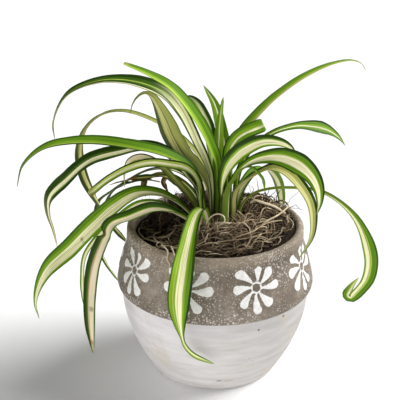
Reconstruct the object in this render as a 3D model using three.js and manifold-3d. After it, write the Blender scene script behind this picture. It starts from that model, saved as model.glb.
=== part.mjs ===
// A potted spider plant: a round stoneware pot with a daisy band, the soil in it, a tangled mat of surface
// roots, the short crown, and the arching striped leaves that grow from sockets in the crown.
// Millimetres, +Z up. The origin is the centre of the pot's flat foot, and the front looks along -Y.
import * as THREE from "three";
import { mergeVertices } from "three/addons/utils/BufferGeometryUtils.js";
import Module from "manifold-3d";

const wasm = await Module();
wasm.setup();

// The gap that a piece keeps to its neighbour.
const CLEARANCE = 0.3;

// The pot is one fired piece: a round bowl, an overhanging shoulder, and a band that leans in to a short
// collar.
const POT = {
  height: 109,
  footRadius: 45.5,
  footRound: 1.5,
  bowlTopRadius: 67,
  lineHeight: 65,
  lipHeight: 66,
  shoulderRadius: 70,
  shoulderHeight: 68.5,
  collarHeight: 98,
  rimRadius: 62,
  wall: 5.6,
  floor: 8,
  sides: 48,
};

// The raised daisies round the band.
const DAISY = {
  count: 9,
  firstAzimuth: -27,
  petals: 8,
  firstPetal: -11,
  heartHeight: 88.7,
  petalStart: 3.5,
  petalEnd: 16.3,
  petalWidth: 6.4,
  swirl: 14,
  relief: 0.6,
  sink: 1,
};

const SOIL = { wallHeight: 102, moundHeight: 105 };

// The crown stands in a pocket in the soil.
const CROWN = {
  radius: 20,
  bottom: 95,
  shoulder: 108,
  top: 112,
  sides: 24,
  socketReach: 25,
  socketGrow: 0.4,
};

// The root mat is a crescent on the soil that leaves the left side bare. Its two ends are angles from +X.
const MAT = {
  innerRadius: 21,
  outerRadius: 55.8,
  from: -132,
  to: 128,
  edgeHeight: 107,
  crest: 118,
  crestRadius: 34,
  crestAzimuth: 15,
  crestSpread: 30,
  leastThickness: 1.5,
  strandRadius: 1,
  strandSink: 2.2,
  strandRise: 4.4,
  strands: 20,
  seed: 7,
};

const BLADE = { thickness: 0.8, channel: 0.16, step: 10 };

// Each leaf: the angle it grows towards from +X, the seat of its base in the crown, and its midline as
// [reach, height] from that seat, with a third number where it swings sideways. Widths and turns are spread
// evenly from base to tip, and a turn rolls the blade about its midline.
const LEAVES = [
  {
    name: "leaf_tall_left",
    azimuth: 180,
    seat: [0, 0],
    path: [
      [0, 102, 0], [-1, 124, 0], [-1, 150.5, 2], [4, 168, 8.5], [12.5, 187, 14], [28, 208, 16],
      [43, 217, 14], [59, 223, 11],
    ],
    widths: [5, 7, 10, 11, 10, 7, 3],
    turns: [0, -20, -30, -30, -30],
  },
  {
    name: "leaf_high_arch_left",
    azimuth: 180,
    seat: [-3, -8],
    path: [
      [0, 102], [0, 121], [2, 147], [12, 171.5], [21, 190], [32, 203], [52, 210.5], [74, 210.5],
      [94, 201.5], [104, 184], [104, 172],
    ],
    widths: [5, 8, 11, 12, 12, 8, 7.5, 3],
    turns: [0, -20, -30, -20, 0],
  },
  {
    name: "leaf_broad_pale_left",
    azimuth: 180,
    seat: [-3, 6],
    path: [
      [0, 102, 0], [1, 122, -2], [4, 134, -5], [13, 145, -8.5], [20.5, 152, -10], [27.5, 164, -10],
      [33, 179, -9], [37, 189, -8], [41, 195.5, -8], [45, 197.5, -7], [50, 195, -6], [53.5, 190, -5],
      [55, 184, -4],
    ],
    widths: [5, 7, 10.5, 14.5, 16.5, 17, 16, 6, 1.5],
    turns: [0, 25, 60, 60, 40, 0],
  },
  {
    name: "leaf_thin_arch_back_left",
    azimuth: 158,
    seat: [0, 15],
    path: [
      [0, 102], [2, 122], [10, 146], [26, 162.5], [49, 173], [71, 177], [88, 173], [102, 161], [109, 143],
      [107, 123], [97, 104], [84, 85], [71, 72],
    ],
    widths: [5, 6, 6, 6, 6, 7, 7.5, 6.5, 4],
    turns: [0, 0, 0, 0, 0, 10, 45, -20, 40],
  },
  {
    name: "leaf_long_green_left",
    azimuth: 184,
    seat: [-6, 0],
    path: [
      [0, 102], [2, 123], [7, 141], [16, 152], [29, 159], [46, 164], [79, 169.5], [108, 166], [124, 153],
      [129, 138],
    ],
    widths: [5, 8, 12, 13, 12, 10, 7, 2],
    turns: [0, -10, -15, -15, -10],
  },
  {
    name: "leaf_dark_margins_left",
    azimuth: 170,
    seat: [-9.5, 4.5],
    path: [
      [0, 102], [0, 118], [3, 130], [10, 139.5], [25, 155.5], [40, 159], [57, 155], [80, 147],
      [97.5, 132], [112, 117], [113.5, 104.5], [111, 92], [109, 77],
    ],
    widths: [5, 8, 12.5, 13, 13.5, 15.5, 15, 10.5, 2],
    turns: [0, -5, -20, -30, -40, -40],
  },
  {
    name: "leaf_cut_left",
    azimuth: 188,
    seat: [-8, -10],
    path: [[0, 102], [2, 124], [4, 141], [11, 151], [23, 155], [37, 157], [50, 154], [64, 147], [77, 137]],
    widths: [5, 7, 9, 9, 8, 8],
    turns: [0, -20, -20, -20],
  },
  {
    name: "leaf_olive_left",
    azimuth: 166,
    seat: [-12.5, 4],
    path: [
      [0, 102], [1, 116], [6, 124.5], [16, 136], [30, 149], [41, 151.5], [49.5, 147.5], [53, 139],
      [53.5, 128],
    ],
    widths: [5, 6, 6.5, 6, 6.5, 8, 5.5, 2],
    turns: [0, -15, -40, -45, -30],
  },
  {
    name: "leaf_thin_back_left",
    azimuth: 146,
    seat: [-11, 9.5],
    path: [
      [0, 102], [1, 119], [6, 133], [22, 139], [44, 135], [64, 123], [80, 111], [94, 99], [99, 82],
      [99, 62], [91, 46], [78, 33],
    ],
    widths: [4, 5, 5, 5, 5, 6, 6, 4, 2],
    turns: [0, 0, 0],
  },
  {
    name: "leaf_low_back_left",
    azimuth: 142,
    seat: [-7, 13.5],
    path: [[0, 102], [4, 114], [14, 125], [30, 131], [45, 130], [57, 124]],
    widths: [4, 5, 5, 4, 2],
    turns: [0, 0],
  },
  {
    name: "leaf_front_left_wide",
    azimuth: 197,
    seat: [-15, 1],
    path: [
      [0, 102], [1, 111], [6, 118.5], [15, 126.5], [27, 132], [41, 133], [55, 126], [71.5, 113],
      [86.7, 99.3], [103.5, 85.5], [111, 72], [113.5, 60.5], [112, 49.5],
    ],
    widths: [5, 8, 12, 15, 16.5, 16.5, 14, 7, 2],
    turns: [0, -10, -25, -30, -20],
  },
  {
    name: "leaf_front_left_under",
    azimuth: 205.5,
    seat: [-15, -4],
    path: [
      [0, 102], [1, 109], [7, 116.5], [17, 124], [29, 129.5], [41, 130], [55, 123], [69, 113], [79, 101],
      [82, 84], [82, 69], [80, 57],
    ],
    widths: [4, 5, 6.5, 7, 6, 5, 4.5, 2],
    turns: [0, -10, -10, -30],
  },
  {
    name: "leaf_kinked_left",
    azimuth: 212,
    seat: [-12, -10.5],
    path: [
      [0, 102], [2, 111], [10, 118], [22, 126], [36, 130], [52, 128], [65, 126], [70, 118], [78, 102],
      [82.5, 81], [84, 59], [83, 36],
    ],
    widths: [5, 8, 12, 12, 12, 11, 9, 7, 2],
    turns: [0, -10, -10, -40, -50],
  },
  {
    name: "leaf_front",
    azimuth: 270,
    seat: [-5, -14.5],
    path: [
      [0, 102, 0], [1, 115, -0.5], [5, 126, -3], [20.5, 129, -8], [37.5, 125.5, -11.5],
      [51.5, 115.5, -14.5], [61.5, 107.5, -16.5], [67.5, 93.5, -18.5], [67, 78, -18.5], [64.5, 64, -17],
      [61.5, 55.5, -15], [59.5, 47.5, -9.5], [57, 39, 3.5],
    ],
    widths: [6, 6, 6.5, 7.5, 8.5, 9, 10.5, 12.5, 14, 14.5, 12.5, 7.5, 2.8, 3.2, 4, 1.5],
    turns: [0, 0, 0],
  },
  {
    name: "leaf_upright_back",
    azimuth: 165,
    seat: [9, 12],
    path: [[0, 102, 0], [0, 128, 0], [2.5, 155, -1], [7, 176, -2], [11, 189, -3], [19, 201, -4]],
    widths: [4, 6, 8, 9, 7, 2],
    turns: [0, -40, -60],
  },
  {
    name: "leaf_upright_centre",
    azimuth: 90,
    seat: [3, 8],
    path: [[0, 102, 0], [0, 128, 1], [1, 158, 1], [3, 181, 0], [4, 195, -2]],
    widths: [4, 7, 8, 6, 1.5],
    turns: [0, 0],
  },
  {
    name: "leaf_wavy_back",
    azimuth: 180,
    seat: [4, 12.5],
    path: [
      [0, 102, 0], [1, 118, -0.6], [3, 131, -1.5], [5.5, 149, -3], [7.5, 161, -4.5], [8.5, 172, -6],
      [12, 180.5, -8], [16.5, 188, -10.5], [22, 191.5, -12.5], [28, 190, -13.5],
    ],
    widths: [4, 6, 8, 9, 9, 8, 6, 2],
    turns: [0, -30, -60, -60],
  },
  {
    name: "leaf_cut_right",
    azimuth: 14,
    seat: [8, -1.5],
    path: [[0, 102], [0, 131], [0, 150], [2, 164], [8, 171.5], [25, 178]],
    widths: [5, 5, 7, 9, 9.8],
    turns: [0, 15, 60, 60],
  },
  {
    name: "leaf_long_right",
    azimuth: 27,
    seat: [12, 6],
    path: [
      [0, 102], [-2, 131], [-1.5, 153], [6, 170], [21, 185], [37, 196], [58, 206], [79, 211.5],
      [95, 212.2], [104.5, 209], [109, 203.5],
    ],
    widths: [5, 6, 7, 7, 6, 5, 3, 1.5],
    turns: [0, 20, 20, 20],
  },
  {
    name: "leaf_right_mid",
    azimuth: 25,
    seat: [14.5, 6.5],
    path: [
      [0, 102], [0, 124], [3, 145], [11, 158], [27, 167.5], [46, 170.5], [60, 168.5], [74, 164],
      [84, 157], [90, 150],
    ],
    widths: [4, 5, 5.5, 5, 4.2, 4.6, 6, 10, 11, 1.5],
    turns: [0, 20, 30, 45, 50],
  },
  {
    name: "leaf_right_upper",
    azimuth: -12,
    seat: [5.5, -10],
    path: [
      [0, 102], [-1, 122], [-1, 141], [3, 154], [12, 165], [26, 172.5], [38, 172.3], [44.5, 168.8],
      [47.5, 164],
    ],
    widths: [5, 6, 7, 9, 11.5, 12, 9.5, 6, 1.5],
    turns: [0, 10, 45, 55, 50, 45],
  },
  {
    name: "leaf_right_broad",
    azimuth: -40,
    seat: [9, -11],
    path: [
      [0, 102], [-1, 123], [0, 137], [5, 148], [14, 158], [27, 165.5], [42, 169], [55, 167], [64, 162],
      [69, 155], [70.5, 146], [69, 137],
    ],
    widths: [5, 5.5, 6, 6.5, 7.5, 9.8, 13, 13.8, 8, 1.5],
    turns: [0, 20, 40, 50, 50, 40, 20],
  },
  {
    name: "leaf_right_hanging",
    azimuth: -40,
    seat: [14, -5],
    path: [
      [0, 102], [-1, 117], [0, 132], [6, 141], [18, 151], [29, 157], [40, 157], [50, 151], [59, 141],
      [62, 129], [61, 116], [53, 99],
    ],
    widths: [4, 6, 9, 9, 9, 8, 6, 2],
    turns: [0, 10, 20, 10, 5],
  },
  {
    name: "leaf_right_drooping",
    azimuth: -15,
    seat: [17, 1],
    path: [
      [0, 102], [0, 111], [2, 122], [9, 130], [21, 135], [35, 137], [55, 136.5], [69.5, 129.3], [81, 118],
      [89.5, 101], [92.5, 88], [91, 75], [84.5, 63.5], [80.5, 58.5], [78, 60.5], [80.5, 68], [85, 75.5],
    ],
    widths: [4, 3.5, 3.5, 3.5, 3.5, 3.5, 4, 6, 9.5, 10.5, 10.5, 9.5, 1.5],
    turns: [0, 0, 20, 60, 60, 60],
    step: 6,
  },
  {
    name: "leaf_thin_curl_right",
    azimuth: -50,
    seat: [7, -15.5],
    path: [[0, 102], [0, 125], [2, 139], [9, 150], [17, 159], [24, 161], [29, 159], [34, 156], [36, 149]],
    widths: [4, 5, 5, 4, 3, 2],
    turns: [0, 0],
  },
  {
    name: "leaf_back_right",
    azimuth: 60,
    seat: [13.5, 10],
    path: [[0, 102], [3, 116], [14, 127], [32, 132], [54, 127], [72, 113], [82, 94], [84, 72]],
    widths: [4, 7, 10, 10, 8, 2],
    turns: [0, 0],
  },
  {
    name: "leaf_back",
    azimuth: 100,
    seat: [6, 16.5],
    path: [[0, 102], [2, 114], [12, 124], [30, 128], [52, 122], [70, 108], [79, 88], [80, 64]],
    widths: [4, 7, 10, 10, 8, 2],
    turns: [0, 0],
  },
];

const FINISH = {
  pot: { color: 0x9c8f80, roughness: 0.75 },
  soil: { color: 0x2b2119, roughness: 1 },
  rootMat: { color: 0x8a6d4c, roughness: 0.95 },
  crown: { color: 0x8d8a4e, roughness: 0.8 },
  leaf: { color: 0x5f9b3a, roughness: 0.45 },
};

const radians = THREE.MathUtils.degToRad;

// A repeatable stream of numbers from 0 to 1.
function randomStream(seed) {
  let state = seed;
  return () => {
    state = (state * 1664525 + 1013904223) % 4294967296;
    return state / 4294967296;
  };
}

function solidOf(geometry) {
  const bare = geometry.clone();
  bare.deleteAttribute("normal");
  bare.deleteAttribute("uv");
  const merged = mergeVertices(bare, 1e-3);
  return new wasm.Manifold(
    new wasm.Mesh({
      numProp: 3,
      vertProperties: new Float32Array(merged.attributes.position.array),
      triVerts: new Uint32Array(merged.index.array),
    }),
  );
}

function geometryOf(solid) {
  const mesh = solid.getMesh();
  const positions = new Float32Array(mesh.numVert * 3);
  for (let i = 0; i < mesh.numVert; i++) {
    positions.set(mesh.vertProperties.subarray(i * mesh.numProp, i * mesh.numProp + 3), i * 3);
  }
  const geometry = new THREE.BufferGeometry();
  geometry.setAttribute("position", new THREE.BufferAttribute(positions, 3));
  geometry.setIndex(new THREE.BufferAttribute(new Uint32Array(mesh.triVerts), 1));
  geometry.computeVertexNormals();
  return geometry;
}

// Joins rings of points, each in order round its section, into one closed skin. The cap triangles close a
// section, and are used at both ends.
function skinOf(rings, capTriangles) {
  const positions = [];
  const index = [];
  const sides = rings[0].length;
  rings.forEach((ring) => ring.forEach((p) => positions.push(p.x, p.y, p.z)));
  for (let i = 0; i + 1 < rings.length; i++) {
    for (let k = 0; k < sides; k++) {
      const a = i * sides + k;
      const b = i * sides + ((k + 1) % sides);
      index.push(a, b + sides, b, a, a + sides, b + sides);
    }
  }
  const last = (rings.length - 1) * sides;
  capTriangles.forEach(([a, b, c]) => {
    index.push(a, b, c);
    index.push(last + a, last + c, last + b);
  });
  const geometry = new THREE.BufferGeometry();
  geometry.setAttribute("position", new THREE.Float32BufferAttribute(positions, 3));
  geometry.setIndex(index);
  return geometry;
}

// Turns a [radius, height] outline, listed from the bottom of the axis round the outside, about the Z axis.
function turned(outline, sides) {
  const points = outline.map(([radius, height]) => new THREE.Vector2(radius, height));
  return new THREE.LatheGeometry(points, sides).rotateX(Math.PI / 2);
}

// The bowl swells as a parabola from the foot to the line under the shoulder.
function bowlRadius(height) {
  const share = 1 - height / POT.lineHeight;
  return POT.bowlTopRadius - (POT.bowlTopRadius - POT.footRadius) * share ** 2;
}

// The band leans in from the shoulder to the collar, a little rounded at the shoulder.
function bandRadius(height) {
  const share = (height - POT.shoulderHeight) / (POT.collarHeight - POT.shoulderHeight);
  const lean = THREE.MathUtils.clamp(share, 0, 1) ** 1.2;
  return THREE.MathUtils.lerp(POT.shoulderRadius, POT.rimRadius, lean);
}

function insideRadius(height) {
  return Math.min(bowlRadius(Math.min(height, POT.lineHeight)), bandRadius(height)) - POT.wall;
}

const INSIDE_HEIGHTS = [POT.floor, 24, 44, POT.lineHeight, 82, POT.collarHeight];

function potOutline() {
  const { footRadius, footRound, lineHeight, lipHeight } = POT;
  const { shoulderRadius, shoulderHeight, collarHeight, rimRadius } = POT;
  const outline = [[0, 0], [footRadius - footRound, 0]];
  const bowlSteps = 6;
  for (let i = 0; i <= bowlSteps; i++) {
    const height = THREE.MathUtils.lerp(footRound, lineHeight, i / bowlSteps);
    outline.push([bowlRadius(height), height]);
  }
  outline.push([shoulderRadius - 1, lipHeight]);
  outline.push([shoulderRadius, shoulderHeight]);
  const bandSteps = 3;
  for (let i = 1; i <= bandSteps; i++) {
    const height = THREE.MathUtils.lerp(shoulderHeight, collarHeight, i / bandSteps);
    outline.push([bandRadius(height), height]);
  }
  const rimRound = POT.wall / 2;
  const rimSteps = 4;
  for (let i = 0; i <= rimSteps; i++) {
    const angle = (Math.PI * i) / rimSteps;
    outline.push([
      rimRadius - rimRound + rimRound * Math.cos(angle),
      POT.height - rimRound + rimRound * Math.sin(angle),
    ]);
  }
  [...INSIDE_HEIGHTS].reverse().forEach((height) => outline.push([insideRadius(height), height]));
  outline.push([0, POT.floor]);
  return outline;
}

// One petal, a teardrop that widens outwards and swirls, laid on the band and sunk a little into it.
function petalSolid(flowerAzimuth, petalAngle) {
  const { petalStart, petalEnd, petalWidth, swirl, relief, sink, heartHeight } = DAISY;
  const stations = [
    [0, 0.15],
    [0.72, 1],
    [1, 0.6],
  ];
  const place = (along, across, offset) => {
    const angle = radians(petalAngle + swirl * along);
    const reach = THREE.MathUtils.lerp(petalStart, petalEnd, along);
    const sideways = reach * Math.cos(angle) - across * Math.sin(angle);
    const upward = reach * Math.sin(angle) + across * Math.cos(angle);
    const height = heartHeight + upward;
    const radius = bandRadius(height) + offset;
    const azimuth = radians(flowerAzimuth) + sideways / radius;
    return new THREE.Vector3(radius * Math.cos(azimuth), radius * Math.sin(azimuth), height);
  };
  const rings = stations.map(([along, share]) => {
    const half = (petalWidth * share) / 2;
    return [
      place(along, -half, relief),
      place(along, half, relief),
      place(along, half, -sink),
      place(along, -half, -sink),
    ];
  });
  return solidOf(skinOf(rings, [[0, 1, 2], [0, 2, 3]]));
}

function potGeometry() {
  const petals = [];
  for (let flower = 0; flower < DAISY.count; flower++) {
    const azimuth = DAISY.firstAzimuth + (360 * flower) / DAISY.count;
    for (let petal = 0; petal < DAISY.petals; petal++) {
      petals.push(petalSolid(azimuth, DAISY.firstPetal + (360 * petal) / DAISY.petals));
    }
  }
  return geometryOf(wasm.Manifold.union([solidOf(turned(potOutline(), POT.sides)), ...petals]));
}

// The soil's top: a low mound, highest round the crown.
function soilTop(radius) {
  const edge = insideRadius(SOIL.wallHeight) - CLEARANCE;
  return THREE.MathUtils.lerp(SOIL.moundHeight, SOIL.wallHeight, (radius / edge) ** 2);
}

function soilGeometry() {
  const outline = [[0, POT.floor + CLEARANCE]];
  [...INSIDE_HEIGHTS, SOIL.wallHeight].forEach((height) => {
    outline.push([insideRadius(height) - 1.4 * CLEARANCE, Math.max(height, POT.floor + CLEARANCE)]);
  });
  const pocket = CROWN.radius + 2 * CLEARANCE;
  [48, 38, 28, pocket].forEach((radius) => outline.push([radius, soilTop(radius)]));
  outline.push([pocket, CROWN.bottom - CLEARANCE], [0, CROWN.bottom - CLEARANCE]);
  return turned(outline, POT.sides);
}

// How high the root mat stands over a point: highest to the right of the crown, thin where it runs out.
function matTop(x, y) {
  const radius = Math.hypot(x, y);
  const axis = new THREE.Vector2();
  const crest = new THREE.Vector2(MAT.crestRadius, 0).rotateAround(axis, radians(MAT.crestAzimuth));
  const fromCrest = crest.distanceTo(new THREE.Vector2(x, y)) / MAT.crestSpread;
  const nearWall = (radius / MAT.outerRadius) ** 6;
  const rise = (MAT.crest - MAT.edgeHeight) * Math.exp(-(fromCrest ** 2));
  return MAT.edgeHeight + rise * (1 - nearWall);
}

function insideMat(azimuth) {
  return azimuth > MAT.from && azimuth < MAT.to;
}

function matBody() {
  const slices = 26;
  const rings = [];
  for (let i = 0; i <= slices; i++) {
    const share = i / slices;
    const azimuth = THREE.MathUtils.lerp(MAT.from, MAT.to, share);
    const direction = new THREE.Vector2(Math.cos(radians(azimuth)), Math.sin(radians(azimuth)));
    const fade = Math.sin(Math.PI * share) ** 0.35;
    const radii = [MAT.innerRadius, 26, 34, 42, 49, MAT.outerRadius];
    const top = radii.map((radius) => {
      const floor = soilTop(radius) + CLEARANCE + MAT.leastThickness;
      const full = matTop(direction.x * radius, direction.y * radius);
      const height = Math.max(floor, THREE.MathUtils.lerp(floor, full, fade));
      return new THREE.Vector3(direction.x * radius, direction.y * radius, height);
    });
    const under = radii
      .map((radius) => {
        const height = soilTop(radius) + 2 * CLEARANCE;
        return new THREE.Vector3(direction.x * radius, direction.y * radius, height);
      })
      .reverse();
    rings.push([...top, ...under].reverse());
  }
  const caps = [];
  const last = rings[0].length - 1;
  for (let k = 0; k + 1 < rings[0].length / 2; k++) {
    caps.push([k, k + 1, last - k - 1], [k, last - k - 1, last - k]);
  }
  return solidOf(skinOf(rings, caps));
}

// A root that arches over the mat as a slim square rod, with its two ends sunk in it.
function strandSolid(random) {
  const steps = 6;
  const azimuth = radians(THREE.MathUtils.lerp(MAT.from + 12, MAT.to - 12, random()));
  const radius = THREE.MathUtils.lerp(MAT.innerRadius + 5, MAT.outerRadius - 8, Math.sqrt(random()));
  const bend = THREE.MathUtils.lerp(8, 24, random());
  const sweep = radians(THREE.MathUtils.lerp(70, 150, random()));
  const facing = random() * 2 * Math.PI;
  const centre = new THREE.Vector2(Math.cos(azimuth) * radius, Math.sin(azimuth) * radius);
  centre.x -= bend * Math.cos(facing);
  centre.y -= bend * Math.sin(facing);
  const rings = [];
  for (let i = 0; i <= steps; i++) {
    const angle = facing + sweep * (i / steps - 0.5);
    const x = centre.x + bend * Math.cos(angle);
    const y = centre.y + bend * Math.sin(angle);
    if (Math.hypot(x, y) < MAT.innerRadius + 1.5 || Math.hypot(x, y) > MAT.outerRadius - 2.5) return null;
    if (!insideMat(THREE.MathUtils.radToDeg(Math.atan2(y, x)))) return null;
    const least = soilTop(Math.hypot(x, y)) + MAT.strandRadius + 3 * CLEARANCE;
    const arched = matTop(x, y) - MAT.strandSink + MAT.strandRise * Math.sin((Math.PI * i) / steps);
    const height = Math.max(least, arched);
    const inward = new THREE.Vector3(Math.cos(angle), Math.sin(angle), 0).multiplyScalar(MAT.strandRadius);
    const upward = new THREE.Vector3(0, 0, MAT.strandRadius);
    const middle = new THREE.Vector3(x, y, height);
    rings.push([
      middle.clone().add(inward),
      middle.clone().add(upward),
      middle.clone().sub(inward),
      middle.clone().sub(upward),
    ]);
  }
  return solidOf(skinOf(rings, [[0, 1, 2], [0, 2, 3]]));
}

function matGeometry() {
  const random = randomStream(MAT.seed);
  const strands = [];
  while (strands.length < MAT.strands) {
    const strand = strandSolid(random);
    if (strand) strands.push(strand);
  }
  return geometryOf(wasm.Manifold.union([matBody(), ...strands]));
}

// A value between the listed ones, which are spread evenly from 0 to 1.
function spread(values, share) {
  const place = THREE.MathUtils.clamp(share, 0, 1) * (values.length - 1);
  const i = Math.min(values.length - 2, Math.floor(place));
  return THREE.MathUtils.lerp(values[i], values[i + 1], THREE.MathUtils.smoothstep(place - i, 0, 1));
}

function midlineOf(leaf) {
  const outward = new THREE.Vector3(Math.cos(radians(leaf.azimuth)), Math.sin(radians(leaf.azimuth)), 0);
  const sideways = new THREE.Vector3(-outward.y, outward.x, 0);
  const points = leaf.path.map(([reach, height, swing = 0]) => {
    const seat = new THREE.Vector3(leaf.seat[0], leaf.seat[1], height);
    return seat.addScaledVector(outward, reach).addScaledVector(sideways, swing);
  });
  return { curve: new THREE.CatmullRomCurve3(points), sideways };
}

// One section across the blade: a shallow gutter, with its six corners in order round it.
function sectionOf(leaf, midline, share, grow) {
  const centre = midline.curve.getPointAt(share);
  const along = midline.curve.getTangentAt(share);
  const across = midline.sideways.clone().addScaledVector(along, -midline.sideways.dot(along)).normalize();
  const roll = new THREE.Quaternion().setFromAxisAngle(along, radians(spread(leaf.turns, share)));
  across.applyQuaternion(roll);
  const upper = along.clone().cross(across);
  const width = spread(leaf.widths, share);
  const half = width / 2 + grow;
  const gutter = 2 * half * BLADE.channel * (1.6 - 1.2 * share);
  const at = (sideways, raised) =>
    centre.clone().addScaledVector(across, sideways).addScaledVector(upper, raised);
  const top = grow;
  const under = -BLADE.thickness - grow;
  return [
    at(-half, gutter + top),
    at(0, top),
    at(half, gutter + top),
    at(half, gutter + under),
    at(0, under),
    at(-half, gutter + under),
  ];
}

const SECTION_CAP = [[0, 1, 4], [0, 4, 5], [1, 2, 3], [1, 3, 4]];

// The shares of its length at which a leaf has a section.
function stationsOf(leaf, midline) {
  const steps = Math.ceil(midline.curve.getLength() / (leaf.step ?? BLADE.step));
  return Array.from({ length: steps + 1 }, (_, i) => i / steps);
}

function bladeGeometry(leaf) {
  const midline = midlineOf(leaf);
  const rings = stationsOf(leaf, midline).map((share) => sectionOf(leaf, midline, share, 0));
  return skinOf(rings, SECTION_CAP);
}

// The socket that a leaf's base sits in: the base, a little larger all round and carried on below it.
function socketSolid(leaf) {
  const midline = midlineOf(leaf);
  const length = midline.curve.getLength();
  const stations = stationsOf(leaf, midline).filter((share) => share * length < CROWN.socketReach);
  const rings = stations.map((share) => sectionOf(leaf, midline, share, CROWN.socketGrow));
  const drop = midline.curve.getTangentAt(0).multiplyScalar(-CROWN.socketGrow);
  rings[0] = rings[0].map((corner) => corner.clone().add(drop));
  return solidOf(skinOf(rings, SECTION_CAP));
}

function crownGeometry() {
  const { radius, bottom, shoulder, top, sides } = CROWN;
  const outline = [
    [0, bottom],
    [radius, bottom],
    [radius, shoulder],
    [radius * 0.8, top - 1],
    [radius * 0.45, top],
    [0, top],
  ];
  const body = solidOf(turned(outline, sides));
  return geometryOf(body.subtract(wasm.Manifold.union(LEAVES.map(socketSolid))));
}

function pieceOf(name, geometry, finish) {
  const mesh = new THREE.Mesh(geometry, new THREE.MeshStandardMaterial({ metalness: 0, ...finish }));
  mesh.name = name;
  return mesh;
}

const plant = new THREE.Group();
plant.add(pieceOf("pot", potGeometry(), FINISH.pot));
plant.add(pieceOf("soil", soilGeometry(), FINISH.soil));
plant.add(pieceOf("root_mat", matGeometry(), FINISH.rootMat));
plant.add(pieceOf("crown", crownGeometry(), FINISH.crown));
LEAVES.forEach((leaf) => plant.add(pieceOf(leaf.name, bladeGeometry(leaf), FINISH.leaf)));

export default plant;
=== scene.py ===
"""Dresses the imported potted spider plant: leaves with their stripes, the root tangle, soil, crown and pot.

Lengths are in millimetres until a mesh is made, which is in metres. +Z is up and the front looks along -Y.
A leaf is described by its midline, as in the CAD source, so the fine piece keeps the form of its node.
"""

import logging
import math
import random
from dataclasses import dataclass, field
from enum import Enum
from typing import Callable, Iterable, Optional, Sequence, Union

import bpy
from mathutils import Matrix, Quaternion, Vector, noise


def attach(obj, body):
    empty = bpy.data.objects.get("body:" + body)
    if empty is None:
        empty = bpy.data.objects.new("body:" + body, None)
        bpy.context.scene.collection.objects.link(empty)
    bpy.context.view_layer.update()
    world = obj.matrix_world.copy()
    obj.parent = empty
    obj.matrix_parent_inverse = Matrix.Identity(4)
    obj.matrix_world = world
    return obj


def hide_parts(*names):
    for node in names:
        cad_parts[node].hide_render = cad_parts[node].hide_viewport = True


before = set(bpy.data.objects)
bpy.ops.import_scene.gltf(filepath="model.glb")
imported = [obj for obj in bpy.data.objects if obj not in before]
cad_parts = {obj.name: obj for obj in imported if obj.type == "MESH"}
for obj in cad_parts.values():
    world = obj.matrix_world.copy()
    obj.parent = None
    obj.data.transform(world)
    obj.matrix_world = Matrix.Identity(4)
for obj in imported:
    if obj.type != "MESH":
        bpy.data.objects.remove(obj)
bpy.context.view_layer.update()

MM = 0.001
BODY = "root"
log = logging.getLogger("spider_plant")


class Hue(Enum):
    """A colour of the plant, as the screen shows it, from 0 to 255."""

    MARGIN = (34, 58, 12)
    DEEP = (56, 90, 16)
    GREEN = (94, 136, 26)
    BRIGHT = (128, 166, 36)
    LIME = (176, 196, 86)
    CREAM = (246, 241, 194)
    PALE = (214, 212, 166)
    OLIVE_CREAM = (194, 188, 122)
    OLIVE = (158, 162, 88)
    MOSS = (100, 118, 40)
    TAN = (226, 212, 178)
    DRY = (96, 68, 38)
    DRY_GREY = (128, 126, 112)
    SHEATH = (186, 190, 118)
    STRAW = (168, 146, 108)


class Slot(Enum):
    """The material slots, by name."""

    POT = "pot_stoneware"
    SOIL = "soil"
    ROOTS = "roots"
    CROWN = "crown"
    STRIPED = "leaf_striped"
    GREEN = "leaf_green"
    PALE = "leaf_pale"


class Tip(Enum):
    """How a leaf ends."""

    POINTED = "pointed"
    CUT = "cut"


Span = tuple[float, float]
Place = tuple[float, float, float]
Face = tuple[int, ...]
Colour = Union[Hue, tuple[int, int, int]]
Stripes = tuple[tuple[Hue, float], ...]
Socket = bpy.types.NodeSocket
Value = Union[Socket, float]


def linear_colour(colour: Colour) -> tuple[float, ...]:
    """Turns a screen colour into linear light.

    Args:
        colour: One of the plant's hues, or red, green and blue from 0 to 255.

    Returns:
        Linear red, green and blue, and full alpha.
    """
    levels = [level / 255 for level in (colour.value if isinstance(colour, Hue) else colour)]
    light = [level / 12.92 if level <= 0.04045 else ((level + 0.055) / 1.055) ** 2.4 for level in levels]
    return (*light, 1.0)


def mix(low: float, high: float, share: float) -> float:
    """A value between two others."""
    return low + (high - low) * share


def clamp(value: float, low: float = 0.0, high: float = 1.0) -> float:
    """Keeps a value between two limits."""
    return max(low, min(high, value))


def smooth(share: float) -> float:
    """Eases a share from 0 to 1 at both ends."""
    share = clamp(share)
    return share * share * (3 - 2 * share)


def eased_value(values: Sequence[float], share: float) -> float:
    """Reads values that are spread evenly from 0 to 1, with a smooth curve between them.

    Args:
        values: The listed values.
        share: Where to read, from 0 to 1.

    Returns:
        The value there.
    """
    place = clamp(share) * (len(values) - 1)
    i = min(len(values) - 2, int(place))
    t = place - i
    a, b = values[i], values[i + 1]
    slope_a = (b - values[max(0, i - 1)]) / 2
    slope_b = (values[min(len(values) - 1, i + 2)] - a) / 2
    t2, t3 = t * t, t * t * t
    return (
        (2 * t3 - 3 * t2 + 1) * a + (t3 - 2 * t2 + t) * slope_a + (3 * t2 - 2 * t3) * b + (t3 - t2) * slope_b
    )


def polar(radius: float, angle: float) -> Span:
    """The x and y at a radius and an angle in radians."""
    return radius * math.cos(angle), radius * math.sin(angle)


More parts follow.
